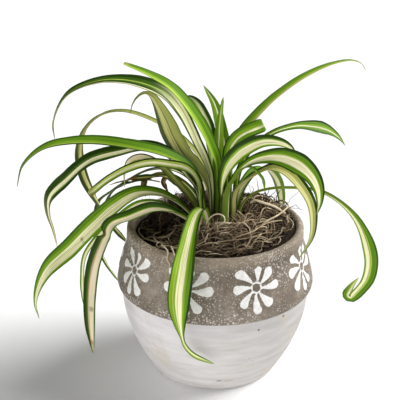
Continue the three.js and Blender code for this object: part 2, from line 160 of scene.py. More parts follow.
def place_piece(
    mesh: bpy.types.Mesh,
    name: str,
    replaces: Iterable[str] = (),
    material: Optional[bpy.types.Material] = None,
) -> None:
    """Links a finished mesh as a piece that rides on the part.

    Args:
        mesh: The piece's mesh, in metres and in place.
        name: The piece's name.
        replaces: The CAD nodes that it stands for.
        material: Its material, where the mesh has none yet.
    """
    if material is not None:
        mesh.materials.append(material)
    piece = bpy.data.objects.new(name, mesh)
    bpy.context.scene.collection.objects.link(piece)
    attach(piece, BODY)
    nodes = list(replaces)
    if nodes:
        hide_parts(*nodes)
    log.info("%s: %d faces", name, len(mesh.polygons))


def make_mesh(name: str, points: Sequence, faces: Sequence[Face], soft: bool = True) -> bpy.types.Mesh:
    """A mesh of points in metres, smooth unless it is told otherwise."""
    mesh = bpy.data.meshes.new(name)
    mesh.from_pydata(points, [], faces)
    if soft:
        mesh.shade_smooth()
    return mesh


def add_numbers(mesh: bpy.types.Mesh, **numbers: Sequence[float]) -> None:
    """Gives each point of a mesh some named numbers."""
    for name, values in numbers.items():
        mesh.attributes.new(name, "FLOAT", "POINT").data.foreach_set("value", values)


def lattice(rows: int, sides: int) -> list[Face]:
    """The faces between closed rings of corners that follow one another.

    Args:
        rows: How many rows of faces there are, one fewer than the rings.
        sides: How many corners a ring has.

    Returns:
        The faces.
    """
    faces = []
    for row in range(rows):
        for k in range(sides):
            a, b = row * sides + k, row * sides + (k + 1) % sides
            faces.append((a, b, b + sides, a + sides))
    return faces


def flat_tube(rows: int, sides: int) -> list[Face]:
    """The faces of a flat tube whose rings run along the top and back below, with both ends closed."""
    faces = lattice(rows, sides)
    last = rows * sides
    for k in range(sides // 2 - 1):
        faces.append((k + 1, k, sides - 1 - k, sides - 2 - k))
        faces.append((last + k, last + k + 1, last + sides - 2 - k, last + sides - 1 - k))
    return faces


def turned_body(rows: int, sides: int) -> list[Face]:
    """The faces of a turned body whose rings are followed by its bottom and its top point."""
    faces = lattice(rows, sides)
    last, bottom = rows * sides, (rows + 1) * sides
    for i in range(sides):
        after = (i + 1) % sides
        faces += [(bottom, after, i), (bottom + 1, last + i, last + after)]
    return faces


class Nodes:
    """Adds and joins the nodes of one tree."""

    def __init__(self, tree: bpy.types.NodeTree) -> None:
        """Takes the tree to fill."""
        self.tree = tree

    def add(self, kind: str, inputs: Optional[dict] = None, **settings: object) -> bpy.types.Node:
        """Adds a node.

        Args:
            kind: The node's type name.
            inputs: Its sockets, by name or number, with a value or another node's socket.
            settings: Properties of the node itself.

        Returns:
            The node.
        """
        node = self.tree.nodes.new(kind)
        for key, value in settings.items():
            setattr(node, key, value)
        for key, value in (inputs or {}).items():
            if isinstance(value, Socket):
                self.tree.links.new(value, node.inputs[key])
            else:
                node.inputs[key].default_value = value
        return node


class Wiring(Nodes):
    """The nodes of one material."""

    def __init__(self, name: str) -> None:
        """Starts an empty material with that name."""
        self.material = bpy.data.materials.new(name)
        self.material.use_nodes = True
        super().__init__(self.material.node_tree)
        self.tree.nodes.clear()

    def math(self, operation: str, a: Value, b: Value = 0.0) -> Socket:
        """The result of two values."""
        return self.add("ShaderNodeMath", {0: a, 1: b}, operation=operation).outputs[0]

    def plus(self, a: Value, b: Value) -> Socket:
        """The sum of two values."""
        return self.math("ADD", a, b)

    def minus(self, a: Value, b: Value) -> Socket:
        """The difference of two values."""
        return self.math("SUBTRACT", a, b)

    def times(self, a: Value, b: Value) -> Socket:
        """The product of two values."""
        return self.math("MULTIPLY", a, b)

    def away(self, value: Value, middle: float) -> Socket:
        """How far a value is from a middle one, on either side."""
        return self.math("ABSOLUTE", self.minus(value, middle))

    def combine(self, x: Value, y: Value, z: Value) -> Socket:
        """A vector from three values."""
        return self.add("ShaderNodeCombineXYZ", {0: x, 1: y, 2: z}).outputs[0]

    def split(self, vector: Socket) -> bpy.types.NodeOutputs:
        """The three parts of a vector."""
        return self.add("ShaderNodeSeparateXYZ", {0: vector}).outputs

    def noise(self, vector: Socket, scale: float, detail: float = 2.0, rough: float = 0.5) -> Socket:
        """Soft noise from 0 to 1."""
        sockets = {"Vector": vector, "Scale": scale, "Detail": detail, "Roughness": rough}
        return self.add("ShaderNodeTexNoise", sockets).outputs[0]

    def range(self, value: Value, low: float, high: float, start: float = 0.0, end: float = 1.0) -> Socket:
        """Maps a value from one range to another, held at both ends."""
        return self.add("ShaderNodeMapRange", {0: value, 1: low, 2: high, 3: start, 4: end}).outputs[0]

    def ramp(self, value: Value, stops: Sequence[tuple[float, Colour]]) -> Socket:
        """A colour ramp with its own stops."""
        node = self.add("ShaderNodeValToRGB", {0: value})
        elements = node.color_ramp.elements
        while len(elements) > 1:
            elements.remove(elements[-1])
        elements[0].position = stops[0][0]
        elements[0].color = linear_colour(stops[0][1])
        for position, colour in stops[1:]:
            elements.new(position).color = linear_colour(colour)
        return node.outputs[0]

    def blend(self, share: Value, base: Socket, other: Union[Socket, Colour]) -> Socket:
        """Blends a colour with another one."""
        second = other if isinstance(other, Socket) else linear_colour(other)
        return self.add("ShaderNodeMix", {0: share, 6: base, 7: second}, data_type="RGBA").outputs[2]

    def lit(self, value: Value, colour: Socket) -> Socket:
        """A colour made lighter or darker."""
        return self.add("ShaderNodeHueSaturation", {"Value": value, "Color": colour}).outputs[0]

    def attribute(self, name: str) -> Socket:
        """A number that the mesh carries."""
        return self.add("ShaderNodeAttribute", attribute_name=name).outputs["Fac"]

    def place(self) -> Socket:
        """The point of the surface in metres."""
        return self.add("ShaderNodeTexCoord").outputs["Object"]

    def bump(self, height: Socket, depth: float, strength: float) -> Socket:
        """A bumped normal."""
        sockets = {"Height": height, "Distance": depth * MM, "Strength": strength}
        return self.add("ShaderNodeBump", sockets).outputs[0]

    def finish(
        self, colour: object, roughness: Value, specular: float, normal: Optional[Socket] = None
    ) -> bpy.types.Material:
        """Ends the tree in one surface shader and returns the material."""
        inputs = {"Base Color": colour, "Roughness": roughness, "Specular IOR Level": specular}
        if normal is not None:
            inputs["Normal"] = normal
        shader = self.add("ShaderNodeBsdfPrincipled", inputs)
        self.add("ShaderNodeOutputMaterial", {"Surface": shader.outputs[0]})
        return self.material


class Form:
    """The pot's and the ground's shared shapes, in millimetres from the centre of the foot."""

    RIM_HEIGHT = 109.0
    FOOT_RADIUS = 45.5
    FOOT_ROUND = 1.5
    BOWL_RADIUS = 67.0
    LINE_HEIGHT = 65.0
    LIP_HEIGHT = 66.0
    SHOULDER_RADIUS = 70.0
    SHOULDER_HEIGHT = 68.5
    COLLAR_HEIGHT = 98.0
    RIM_RADIUS = 62.0
    WALL = 5.6
    FLOOR = 8.0
    SOIL_EDGE = 102.0
    SOIL_TOP = 105.0
    INSIDE = 56.1
    INSIDE_HEIGHTS = (24.0, 44.0, 65.0, 82.0, 98.0)
    CROWN_TOP = 112.0
    MAT_INNER = 21.0
    MAT_OUTER = 55.8
    MAT_FROM = -132.0
    MAT_TO = 128.0
    MAT_EDGE = 107.0
    MAT_CREST = 118.0
    CREST = Vector((32.8, 8.8))
    CREST_SPREAD = 30.0

    @classmethod
    def bowl(cls, height: float) -> float:
        """The bowl's radius at a height."""
        share = 1 - height / cls.LINE_HEIGHT
        return cls.BOWL_RADIUS - (cls.BOWL_RADIUS - cls.FOOT_RADIUS) * share**2

    @classmethod
    def band(cls, height: float) -> float:
        """The band's radius at a height."""
        share = (height - cls.SHOULDER_HEIGHT) / (cls.COLLAR_HEIGHT - cls.SHOULDER_HEIGHT)
        return mix(cls.SHOULDER_RADIUS, cls.RIM_RADIUS, clamp(share) ** 1.2)

    @classmethod
    def inside(cls, height: float) -> float:
        """The radius of the pot's inner wall at a height."""
        return min(cls.bowl(min(height, cls.LINE_HEIGHT)), cls.band(height)) - cls.WALL

    @classmethod
    def soil(cls, radius: float) -> float:
        """The soil's height at a distance from the axis."""
        return mix(cls.SOIL_TOP, cls.SOIL_EDGE, (radius / cls.INSIDE) ** 2)

    @classmethod
    def mat(cls, x: float, y: float) -> float:
        """The height of the root mat where it is full."""
        near = (Vector((x, y)) - cls.CREST).length / cls.CREST_SPREAD
        rise = (cls.MAT_CREST - cls.MAT_EDGE) * math.exp(-(near**2))
        return cls.MAT_EDGE + rise * (1 - min(1.0, math.hypot(x, y) / cls.MAT_OUTER) ** 6)

    @staticmethod
    def fade(share: float) -> float:
        """How full the mat is at a share of its crescent, from 0 at both ends to 1."""
        return math.sin(math.pi * share) ** 0.35 if 0 < share < 1 else 0.0

    @classmethod
    def mat_share(cls, x: float, y: float) -> float:
        """How full the mat is at a point, from 0 on bare soil to 1."""
        return cls.fade((math.degrees(math.atan2(y, x)) - cls.MAT_FROM) / (cls.MAT_TO - cls.MAT_FROM))

    @classmethod
    def ground(cls, x: float, y: float) -> float:
        """The height of what lies in the pot at a point: crown, root mat or soil."""
        radius = math.hypot(x, y)
        full = mix(cls.soil(radius), cls.mat(x, y), cls.mat_share(x, y))
        if radius >= cls.MAT_INNER + 3:
            return full
        crown = cls.CROWN_TOP - 4.0 * smooth((radius - 10) / 10)
        return mix(crown, full, smooth((radius - 17) / 7))


@dataclass(frozen=True)
class Spot:
    """A withered place on a leaf: how far along, how far across from -1 to 1, and its radius."""

    along: float
    across: float
    radius: float
    strength: float = 1.0


@dataclass(frozen=True)
class Pinch:
    """A notch in a leaf's edge: how far along, which edge, its share of the half width, and its reach."""

    along: float
    edge: int
    depth: float
    reach: float


@dataclass(frozen=True)
class LeafFinish:
    """The stripes of one leaf, from its left edge as it grows to its right edge, and how it ends."""

    bands: Stripes
    later: Stripes = ()
    change: Span = (0.4, 0.6)
    tip: Hue = Hue.GREEN
    tip_from: float = 0.93
    base_reach: float = 0.12

    TIP_STRENGTH = 0.7
    BASE_STRENGTH = 0.55
    UNDERSIDE_STRENGTH = 0.05
    BLUR = 0.012
    DRIFT = 0.06
    STREAKS = 0.17

    def stops(self, pairs: Stripes) -> list[tuple[float, Hue]]:
        """The ramp's stops for some stripes, each with a short blend to the next."""
        stops = []
        start = 0.0
        for hue, end in pairs:
            stops += [(clamp(start + self.BLUR), hue), (clamp(end - self.BLUR), hue)]
            start = end
        return stops

    def striped(self, wiring: Wiring, across: Socket, along: Socket, seed: float) -> Socket:
        """The stripes' colour, with fine lines of one stripe running into the next.

        Args:
            wiring: The material's nodes.
            across: The share across the blade.
            along: The share along the blade.
            seed: Sets this leaf's pattern apart from the others'.

        Returns:
            The colour socket.
        """
        drift = wiring.noise(wiring.combine(wiring.times(along, 5.0), seed, 0.0), 1.0)
        lines_at = wiring.combine(wiring.times(across, 24.0), wiring.times(along, 2.4), seed)
        streak = wiring.minus(wiring.noise(lines_at, 1.0, 4.0, 0.7), 0.5)
        shift = wiring.times(wiring.minus(drift, 0.5), self.DRIFT)
        warped = wiring.plus(across, wiring.plus(shift, wiring.times(streak, self.STREAKS)))
        colour = wiring.ramp(warped, self.stops(self.bands))
        if not self.later:
            return colour
        uneven = wiring.plus(along, wiring.times(streak, 0.25))
        beyond = wiring.ramp(warped, self.stops(self.later))
        return wiring.blend(wiring.range(uneven, *self.change), colour, beyond)

    @staticmethod
    def painted_crown_shade(wiring: Wiring) -> Socket:
        """Painted shade deep in the crown: how much of its light a leaf keeps, dull deep in the crown, full
        away from it.
        """
        x, y, z = wiring.split(wiring.place())
        radius = wiring.math("SQRT", wiring.plus(wiring.times(x, x), wiring.times(y, y)))
        within = wiring.range(radius, 0.014, 0.036, 1.0, 0.0)
        low = wiring.range(z, 0.108, 0.146, 0.4, 0.0)
        return wiring.minus(1.0, wiring.times(within, low))

    def material(self, name: str, seed: float) -> bpy.types.Material:
        """Builds the leaf's material.

        Args:
            name: The material's name.
            seed: Sets this leaf's pattern apart from the others'.

        Returns:
            The material, which reads the blade's own map and its withered and underside numbers.
        """
        wiring = Wiring(name)
        across, along, _ = wiring.split(wiring.add("ShaderNodeUVMap", uv_map="blade").outputs[0])
        colour = self.striped(wiring, across, along, seed)
        slow = wiring.times(along, 3.0)
        vein = wiring.noise(wiring.combine(wiring.times(across, 17.0), slow, seed + 3), 1.0, 3.0, 0.6)
        patch = wiring.noise(wiring.combine(wiring.times(across, 4.0), slow, seed + 9), 2.0, 3.0)
        uneven = wiring.range(patch, 0.3, 0.7, -0.08, 0.08)
        colour = wiring.blend(wiring.range(vein, 0.56, 0.66, 0.0, 0.12), colour, Hue.LIME)
        colour = wiring.blend(wiring.range(vein, 0.45, 0.34, 0.0, 0.4), colour, Hue.DEEP)
        colour = wiring.lit(wiring.plus(wiring.range(vein, 0.32, 0.68, 0.8, 1.14), uneven), colour)
        toward_base = wiring.range(along, self.base_reach, 0.0, 0.0, self.BASE_STRENGTH)
        # The leaf's colour is darkened deep in the crown, a painted shade.
        colour = wiring.lit(self.painted_crown_shade(wiring), wiring.blend(toward_base, colour, Hue.SHEATH))
        toward_tip = wiring.range(along, self.tip_from, 1.0, 0.0, self.TIP_STRENGTH)
        colour = wiring.blend(toward_tip, colour, self.tip)
        below = wiring.times(wiring.attribute("underside"), self.UNDERSIDE_STRENGTH)
        colour = wiring.blend(below, colour, Hue.OLIVE_CREAM)
        fine = wiring.combine(wiring.times(across, 26.0), wiring.times(along, 60.0), seed)
        speckle = wiring.range(wiring.noise(fine, 0.8, 4.0, 0.7), 0.3, 0.6, 0.35, 1.0)
        colour = wiring.blend(wiring.times(wiring.attribute("withered"), speckle), colour, Hue.DRY)
        return wiring.finish(colour, 0.5, 0.08, wiring.bump(vein, 0.3, 0.5))


@dataclass(frozen=True)
class Leaf:
    """One leaf, as a bent and rolled blade that narrows to its ends.

    The azimuth is where it grows towards, from +X. The path lists [reach, height, swing] from the seat of its
    base in the crown. Widths and turns are spread evenly from base to tip.
    """

    node: str
    slot: Slot
    azimuth: float
    seat: Span
    path: tuple[tuple[float, ...], ...]
    widths: tuple[float, ...]
    finish: LeafFinish
    turns: tuple[float, ...] = (0, 0)
    tip: Tip = Tip.POINTED
    ripple: float = 0.22
    spots: tuple[Spot, ...] = ()
    pinches: tuple[Pinch, ...] = ()

    @property
    def outward(self) -> Vector:
        """The level direction that the leaf grows towards."""
        return Vector((*polar(1, math.radians(self.azimuth)), 0))

    @property
    def sideways(self) -> Vector:
        """The level direction across the leaf."""
        return Vector((-self.outward.y, self.outward.x, 0))

    def points(self) -> list[Vector]:
        """The midline's driving points."""
        made = []
        for reach, height, *swing in self.path:
            point = Vector((*self.seat, height)) + self.outward * reach
            made.append(point + self.sideways * (swing[0] if swing else 0.0))
        return made


class Midline:
    """A smooth curve through points, read by its share of length."""

    SAMPLES = 400
    TANGENT_REACH = 0.006

    def __init__(self, points: Sequence[Vector]) -> None:
        """Measures the curve once, so that it can be read evenly."""
        self.points = points
        self.samples = [self._raw(i / self.SAMPLES) for i in range(self.SAMPLES + 1)]
        self.lengths = [0.0]
        for a, b in zip(self.samples, self.samples[1:]):
            self.lengths.append(self.lengths[-1] + (b - a).length)

    @property
    def length(self) -> float:
        """The curve's length in millimetres."""
        return self.lengths[-1]

    def _raw(self, t: float) -> Vector:
        """A point by the curve's own parameter, on a smooth spline that passes through every point."""
        points = self.points
        place = t * (len(points) - 1)
        i = min(len(points) - 2, int(place))
        w = place - i
        p1, p2 = points[i], points[i + 1]
        p0 = points[i - 1] if i > 0 else p1 * 2 - p2
        p3 = points[i + 2] if i + 2 < len(points) else p2 * 2 - p1
        d0, d1, d2 = (math.sqrt((b - a).length) or 1.0 for a, b in ((p0, p1), (p1, p2), (p2, p3)))
        t1 = ((p1 - p0) / d0 - (p2 - p0) / (d0 + d1) + (p2 - p1) / d1) * d1
        t2 = ((p2 - p1) / d1 - (p3 - p1) / (d1 + d2) + (p3 - p2) / d2) * d1
        w2, w3 = w * w, w * w * w
        return p1 * (2 * w3 - 3 * w2 + 1) + t1 * (w3 - 2 * w2 + w) + p2 * (3 * w2 - 2 * w3) + t2 * (w3 - w2)

    def at(self, share: float) -> Vector:
        """The point at a share of the length."""
        goal = clamp(share) * self.length
        low, high = 0, self.SAMPLES
        while high - low > 1:
            middle = (low + high) // 2
            if self.lengths[middle] > goal:
                high = middle
            else:
                low = middle
        step = self.lengths[high] - self.lengths[low]
        return self.samples[low].lerp(self.samples[high], (goal - self.lengths[low]) / step if step else 0.0)

    def tangent(self, share: float) -> Vector:
        """The direction at a share of the length."""
        return (self.at(share + self.TANGENT_REACH) - self.at(share - self.TANGENT_REACH)).normalized()

    def evenly(self, steps: int) -> list[Vector]:
        """Points spread evenly over the whole length."""
        return [self.at(i / steps) for i in range(steps + 1)]


class BladeMesh:
    """Builds the fine mesh of a leaf: a shallow gutter with a rib below, thin at its edges."""

    COLUMNS = 16
    ROW_STEP = 1.6
    CHANNEL = 0.16
    MIDDLE_THICKNESS = 0.6
    EDGE_THICKNESS = 0.14
    RIB = 0.35
    RIB_SPREAD = 0.14
    LEAST_WIDTH = 0.4
    WAVE_LENGTH = 9
    WAVE_STEPS = (3.7, 5.3)

    def __init__(self, leaf: Leaf, seed: int) -> None:
        """Takes the leaf to build and the seed of its waves."""
        self.leaf = leaf
        self.seed = seed
        self.midline = Midline(leaf.points())
        self.rows = math.ceil(self.midline.length / self.ROW_STEP)

    def half_width(self, share: float, edge: int) -> float:
        """Half of the blade's width at one edge, with its notches and its end.

        Args:
            share: How far along the blade, from 0 to 1.
            edge: -1 for the left edge, 1 for the right edge.

        Returns:
            The distance from the midline in millimetres.
        """
        half = max(self.LEAST_WIDTH, eased_value(self.leaf.widths, share)) / 2
        from_tip = (1 - share) * self.midline.length
        if self.leaf.tip is Tip.POINTED:
            half = min(half, 0.12 + 0.32 * from_tip**0.85)
        else:
            half *= 0.8 + 0.2 * smooth(from_tip / 2)
        for pinch in self.leaf.pinches:
            if pinch.edge == edge:
                away = abs(share - pinch.along) * self.midline.length / pinch.reach
                half *= 1 - pinch.depth * smooth(1 - away)
        return half

    def ring(self, share: float) -> list[Vector]:
        """The corners of one section: the upper face from left to right, then the underside back."""
        leaf = self.leaf
        centre = self.midline.at(share)
        along = self.midline.tangent(share)
        across = (leaf.sideways - along * leaf.sideways.dot(along)).normalized()
        across.rotate(Quaternion(along, math.radians(eased_value(leaf.turns, share))))
        upper = along.cross(across)
        width = self.half_width(share, -1) + self.half_width(share, 1)
        gutter = width * self.CHANNEL * (1.6 - 1.2 * share)
        place = share * self.midline.length
        side_step, leaf_step = self.WAVE_STEPS
        upper_side, under_side = [], []
        for column in range(self.COLUMNS + 1):
            u = 2 * column / self.COLUMNS - 1
            half = self.half_width(share, -1 if u < 0 else 1)
            side = side_step * (1 if u > 0 else -1)
            wave_at = Vector((place / self.WAVE_LENGTH, side, self.seed * leaf_step))
            wave = leaf.ripple * noise.noise(wave_at) * abs(u) ** 2 * smooth(place / 30) * width / 8
            raised = gutter * abs(u) ** 1.3 + wave
            body = mix(self.MIDDLE_THICKNESS, self.EDGE_THICKNESS, u * u) * min(1.0, 0.35 + width / 6)
            rib = self.RIB * math.exp(-((u / self.RIB_SPREAD) ** 2)) * (1 - share) * min(1.0, width / 8)
            point = centre + across * (half * u)
            upper_side.append(point + upper * raised)
            under_side.append(point + upper * (raised - body - rib))
        return upper_side + under_side[::-1]

    def withered(self, share: float, u: float) -> float:
        """How dry the blade is at a place, from 0 to 1."""
        dry = 0.0
        for spot in self.leaf.spots:
            along = (share - spot.along) * self.midline.length
            across = (u - spot.across) * self.half_width(share, 1)
            dry = max(dry, spot.strength * smooth(1.25 - math.hypot(along, across) / spot.radius))
        return dry

    def build(self) -> bpy.types.Mesh:
        """Builds the closed mesh with its map, its marked edges and its withered places.

        Returns:
            The mesh in metres.
        """
        columns, count = self.COLUMNS, 2 * (self.COLUMNS + 1)
        order = [2 * k / columns - 1 for k in range(columns + 1)]
        order += order[::-1]
        points, uvs, dry = [], [], []
        for row in range(self.rows + 1):
            share = row / self.rows
            points += [corner * MM for corner in self.ring(share)]
            uvs += [((u + 1) / 2, share) for u in order]
            dry += [self.withered(share, u) for u in order]
        under = ([0.0] * (columns + 1) + [1.0] * (columns + 1)) * (self.rows + 1)
        mesh = make_mesh(self.leaf.node, points, flat_tube(self.rows, count))
        layer = mesh.uv_layers.new(name="blade")
        for loop in mesh.loops:
            layer.data[loop.index].uv = uvs[loop.vertex_index]
        add_numbers(mesh, withered=dry, underside=under)
        rims = {0, columns, columns + 1, count - 1}
        for edge in mesh.edges:
            a, b = edge.vertices
            if abs(a - b) == count and a % count in rims:
                edge.use_edge_sharp = True
        return mesh


@dataclass
class Foliage:
    """All the leaves: the living ones in place of their CAD nodes, and dead ones beside them."""

    leaves: tuple[Leaf, ...]
    dead_leaves: tuple[Leaf, ...]
    first_dead_seed: int = 31

    def build(self) -> None:
        """Builds every leaf and gives it its finish."""
        for seed, leaf in enumerate(self.leaves, 1):
            self.place(leaf, seed, leaf.node + "_blade", [leaf.node])
        for seed, leaf in enumerate(self.dead_leaves, self.first_dead_seed):
            self.place(leaf, seed, leaf.node, [])

    @staticmethod
    def place(leaf: Leaf, seed: int, name: str, replaces: list[str]) -> None:
        """Builds one leaf as a piece.

        Args:
            leaf: The leaf.
            seed: Sets its waves and its pattern apart from the others'.
            name: The piece's name.
            replaces: The CAD nodes that it stands for.
        """
        material = leaf.finish.material(leaf.node + "_finish", float(seed))
        place_piece(BladeMesh(leaf, seed).build(), name, replaces, material)


@dataclass
class DaisyBand:
    """The raised daisies round the band, as the distance to the nearest petal's edge."""

    count: int = 9
    first_azimuth: float = -27.0
    petal_angles: tuple[float, ...] = (-10, 30, 73, 129, 174, 216, 258, 297)
    heart_height: float = 88.7
    start: float = 4.0
    end: float = 16.6
    start_radius: float = 0.5
    end_radius: float = 3.15
    bend: float = 1.8
    ring_radius: float = 3.2
    ring_width: float = 1.0
    relief: float = 0.5
    far: float = 5.0
    seed: int = 11
    petal_table: list[list[Place]] = field(default_factory=list)

    def __post_init__(self) -> None:
        """Draws the small differences between the painted petals."""
        stream = random.Random(self.seed)
        for _ in range(self.count):
            flower = []
            for petal_angle in self.petal_angles:
                angle = math.radians(petal_angle + stream.uniform(-3, 3))
                flower.append((angle, stream.uniform(0.93, 1.05), stream.uniform(0.88, 1.12)))
            self.petal_table.append(flower)

    def distance(self, azimuth: float, height: float) -> float:
        """The distance to the nearest petal's edge, less than 0 on the petal.

        Args:
            azimuth: The point's azimuth in degrees.
            height: Its height in millimetres.

        Returns:
            The distance in millimetres, no more than the far one.
        """
        spacing = 360 / self.count
        flower = round((azimuth - self.first_azimuth) / spacing)
        offset = azimuth - self.first_azimuth - flower * spacing
        x = math.radians(offset) * Form.band(height)
        y = height - self.heart_height
        radius = math.hypot(x, y)
        nearest = min(self.far, abs(radius - self.ring_radius) - self.ring_width / 2)
        if radius > self.end + self.far:
            return nearest
        for angle, reach, fullness in self.petal_table[flower % self.count]:
            ahead = x * math.cos(angle) + y * math.sin(angle)
            beside = -x * math.sin(angle) + y * math.cos(angle)
            length = (self.end - self.end_radius) * reach - self.start
            share = clamp((ahead - self.start) / length)
            spread = mix(self.start_radius, self.end_radius * fullness, share**1.1)
            centre_x = self.start + share * length
            centre_y = self.bend * share**2
            nearest = min(nearest, math.hypot(ahead - centre_x, beside - centre_y) - spread)
        return nearest


@dataclass(frozen=True)
class Mark:
    """A small dark mark on the bowl: its place, and its half length and half height, in millimetres."""

    place: Place
    half_length: float
    half_height: float
    strength: float = 0.8

    def share(self, wiring: Wiring, sockets: Iterable[Socket]) -> Socket:
        """How dark the mark makes a point, from 0 to its strength.

        Args:
            wiring: The material's nodes.
            sockets: The point's x, y and z.

        Returns:
            The socket with that share.
        """
        reaches = (self.half_length, self.half_length, self.half_height)
        total = 0.0
        for socket, centre, reach in zip(sockets, self.place, reaches):
            offset = wiring.math("DIVIDE", wiring.minus(socket, centre * MM), reach * MM)
            total = wiring.plus(wiring.times(offset, offset), total)
        return wiring.range(total, 1.3, 0.5, 0.0, self.strength)


@dataclass
class Pot:
    """The stoneware pot: a turned body with raised daisies on its band."""

    daisies: DaisyBand
    marks: tuple[Mark, ...]
    segments: int = 320
    bowl_steps: int = 26
    band_steps: int = 46
    rim_steps: int = 12
    wobble: float = 0.12
    wheel: float = 0.05

    def outline(self) -> list[Span]:
        """The turned outline as [radius, height], from the foot up and down the inside."""
        points = [(Form.FOOT_RADIUS * share, 0.0) for share in (0.3, 0.6, 0.9)]
        points.append((Form.FOOT_RADIUS - Form.FOOT_ROUND, 0.0))
        for i in range(self.bowl_steps + 1):
            height = mix(Form.FOOT_ROUND, Form.LINE_HEIGHT, i / self.bowl_steps)
            points.append((Form.bowl(height), height))
        points.append((Form.BOWL_RADIUS + 0.2, Form.LINE_HEIGHT + 0.35))
        points.append((Form.SHOULDER_RADIUS - 1.0, Form.LIP_HEIGHT))
        points.append((Form.SHOULDER_RADIUS - 0.3, Form.LIP_HEIGHT + 0.9))
        for i in range(self.band_steps + 1):
            height = mix(Form.SHOULDER_HEIGHT, Form.COLLAR_HEIGHT + 2, i / self.band_steps)
            points.append((Form.band(height), height))
        rounding = Form.WALL / 2
        for i in range(self.rim_steps + 1):
            angle = math.pi * i / self.rim_steps
            radius = Form.RIM_RADIUS - rounding + rounding * math.cos(angle)
            points.append((radius, Form.RIM_HEIGHT - rounding + rounding * math.sin(angle)))
        inner = (*reversed(Form.INSIDE_HEIGHTS), Form.FLOOR)
        return points + [(Form.inside(height), height) for height in inner]

    def mesh(self) -> bpy.types.Mesh:
        """Turns the outline and raises the petals.

        Returns:
            The closed mesh, with the distance to the nearest petal's edge on each point.
        """
        outline = self.outline()
        far = self.daisies.far
        points, distances = [], []
        for radius, height in outline:
            near_band = Form.SHOULDER_HEIGHT - 3 < height < Form.COLLAR_HEIGHT + 4
            banded = near_band and radius > Form.RIM_RADIUS - 0.5
            for i in range(self.segments):
                azimuth = 360 * i / self.segments
                angle = math.radians(azimuth)
                near = self.daisies.distance(azimuth, height) if banded else far
                around = Vector((math.cos(angle) * 2, math.sin(angle) * 2, height / 18))
                wobble = self.wobble * noise.noise(around)
                wheel = self.wheel * math.sin(height * 1.9) if height < Form.LINE_HEIGHT else 0.0
                lift = self.daisies.relief * smooth(0.5 - near / 1.2) if banded else 0.0
                uneven = wobble - self.wobble + wheel * smooth(height / 6) if radius > 50 else 0.0
                full = radius + lift + uneven
                points.append((full * math.cos(angle) * MM, full * math.sin(angle) * MM, height * MM))
                distances.append(near)
        points += [(0.0, 0.0, 0.0), (0.0, 0.0, Form.FLOOR * MM)]
        mesh = make_mesh("pot_body", points, turned_body(len(outline) - 1, self.segments))
        add_numbers(mesh, petal_edge=distances + [far, far])
        return mesh

    @staticmethod
    def specks(wiring: Wiring, place: Socket, scale: float, size: Value) -> Socket:
        """Round specks, one to a cell at most.

        Args:
            wiring: The material's nodes.
            place: The point of the surface.
            scale: Cells to a metre.
            size: The specks' radius as a share of a cell.

        Returns:
            1 on a speck and 0 beside it.
        """
        cells = wiring.add("ShaderNodeTexVoronoi", {"Vector": place, "Scale": scale, "Randomness": 1.0})
        return wiring.math("LESS_THAN", cells.outputs[0], size)

    def stoneware(self, wiring: Wiring, place: Socket, z: Socket, broad: Socket, grain: Socket) -> Socket:
        """The band's colour: taupe stoneware with specks of dust, a tan rim that is partly its warm tone and
        partly a painted highlight, and white daisies.

        Args:
            wiring: The material's nodes.
            place: The point of the surface.
            z: Its height.
            broad: Broad noise.
            grain: Fine noise.

        Returns:
            The colour socket.
        """
        stone = wiring.plus(wiring.times(broad, 0.6), wiring.times(grain, 0.4))
        colour = wiring.ramp(stone, [(0.34, (88, 78, 66)), (0.5, (118, 107, 94)), (0.64, (150, 140, 126))])
        # Lighter tan towards the rim: the rim's warm tone, partly a painted highlight.
        colour = wiring.blend(wiring.range(z, 0.101, 0.107, 0.0, 0.35), colour, (158, 142, 118))
        near_lip = wiring.range(wiring.away(z, 0.069), 0.004, 0.001, 0.0, 0.12)
        near_rim = wiring.range(z, 0.092, 0.104, 0.0, 0.08)
        area = wiring.plus(wiring.noise(place, 24.0, 3.0, 0.6), wiring.plus(near_lip, near_rim))
        dust = self.specks(wiring, place, 620.0, wiring.range(area, 0.4, 0.64, 0.12, 0.4))
        drops = self.specks(wiring, place, 230.0, wiring.range(area, 0.45, 0.65, 0.0, 0.13))
        colour = wiring.blend(wiring.times(dust, 0.55), colour, (206, 200, 190))
        colour = wiring.blend(wiring.times(drops, 0.9), colour, (232, 228, 222))
        ragged = wiring.times(wiring.minus(wiring.noise(place, 700.0, 3.0, 0.6), 0.5), 0.9)
        petal = wiring.range(wiring.plus(wiring.attribute("petal_edge"), ragged), 0.18, -0.12, 0.0, 0.96)
        slip = wiring.ramp(grain, [(0.3, (216, 214, 210)), (0.6, (240, 239, 236))])
        return wiring.blend(petal, colour, slip)

    def glaze(self, wiring: Wiring, place: Socket, parts: Sequence[Socket], brushed: Socket) -> Socket:
        """The bowl's colour: a brushed white glaze, cooler at the left, with painted light at the left and
        painted shade at the right, and with beige stains and dark marks.

        Args:
            wiring: The material's nodes.
            place: The point of the surface.
            parts: Its x, y and z.
            brushed: Noise in level strokes.

        Returns:
            The colour socket.
        """
        x, _, z = parts
        whites = ((0.3, (182, 177, 175)), (0.5, (200, 196, 194)), (0.7, (212, 209, 207)))
        colour = wiring.ramp(brushed, whites)
        cool = wiring.plus(wiring.range(x, 0.05, -0.06), wiring.range(z, 0.02, 0.064, -0.5, 0.25))
        colour = wiring.blend(wiring.range(cool, 0.2, 1.0, 0.0, 0.4), colour, (188, 186, 192))
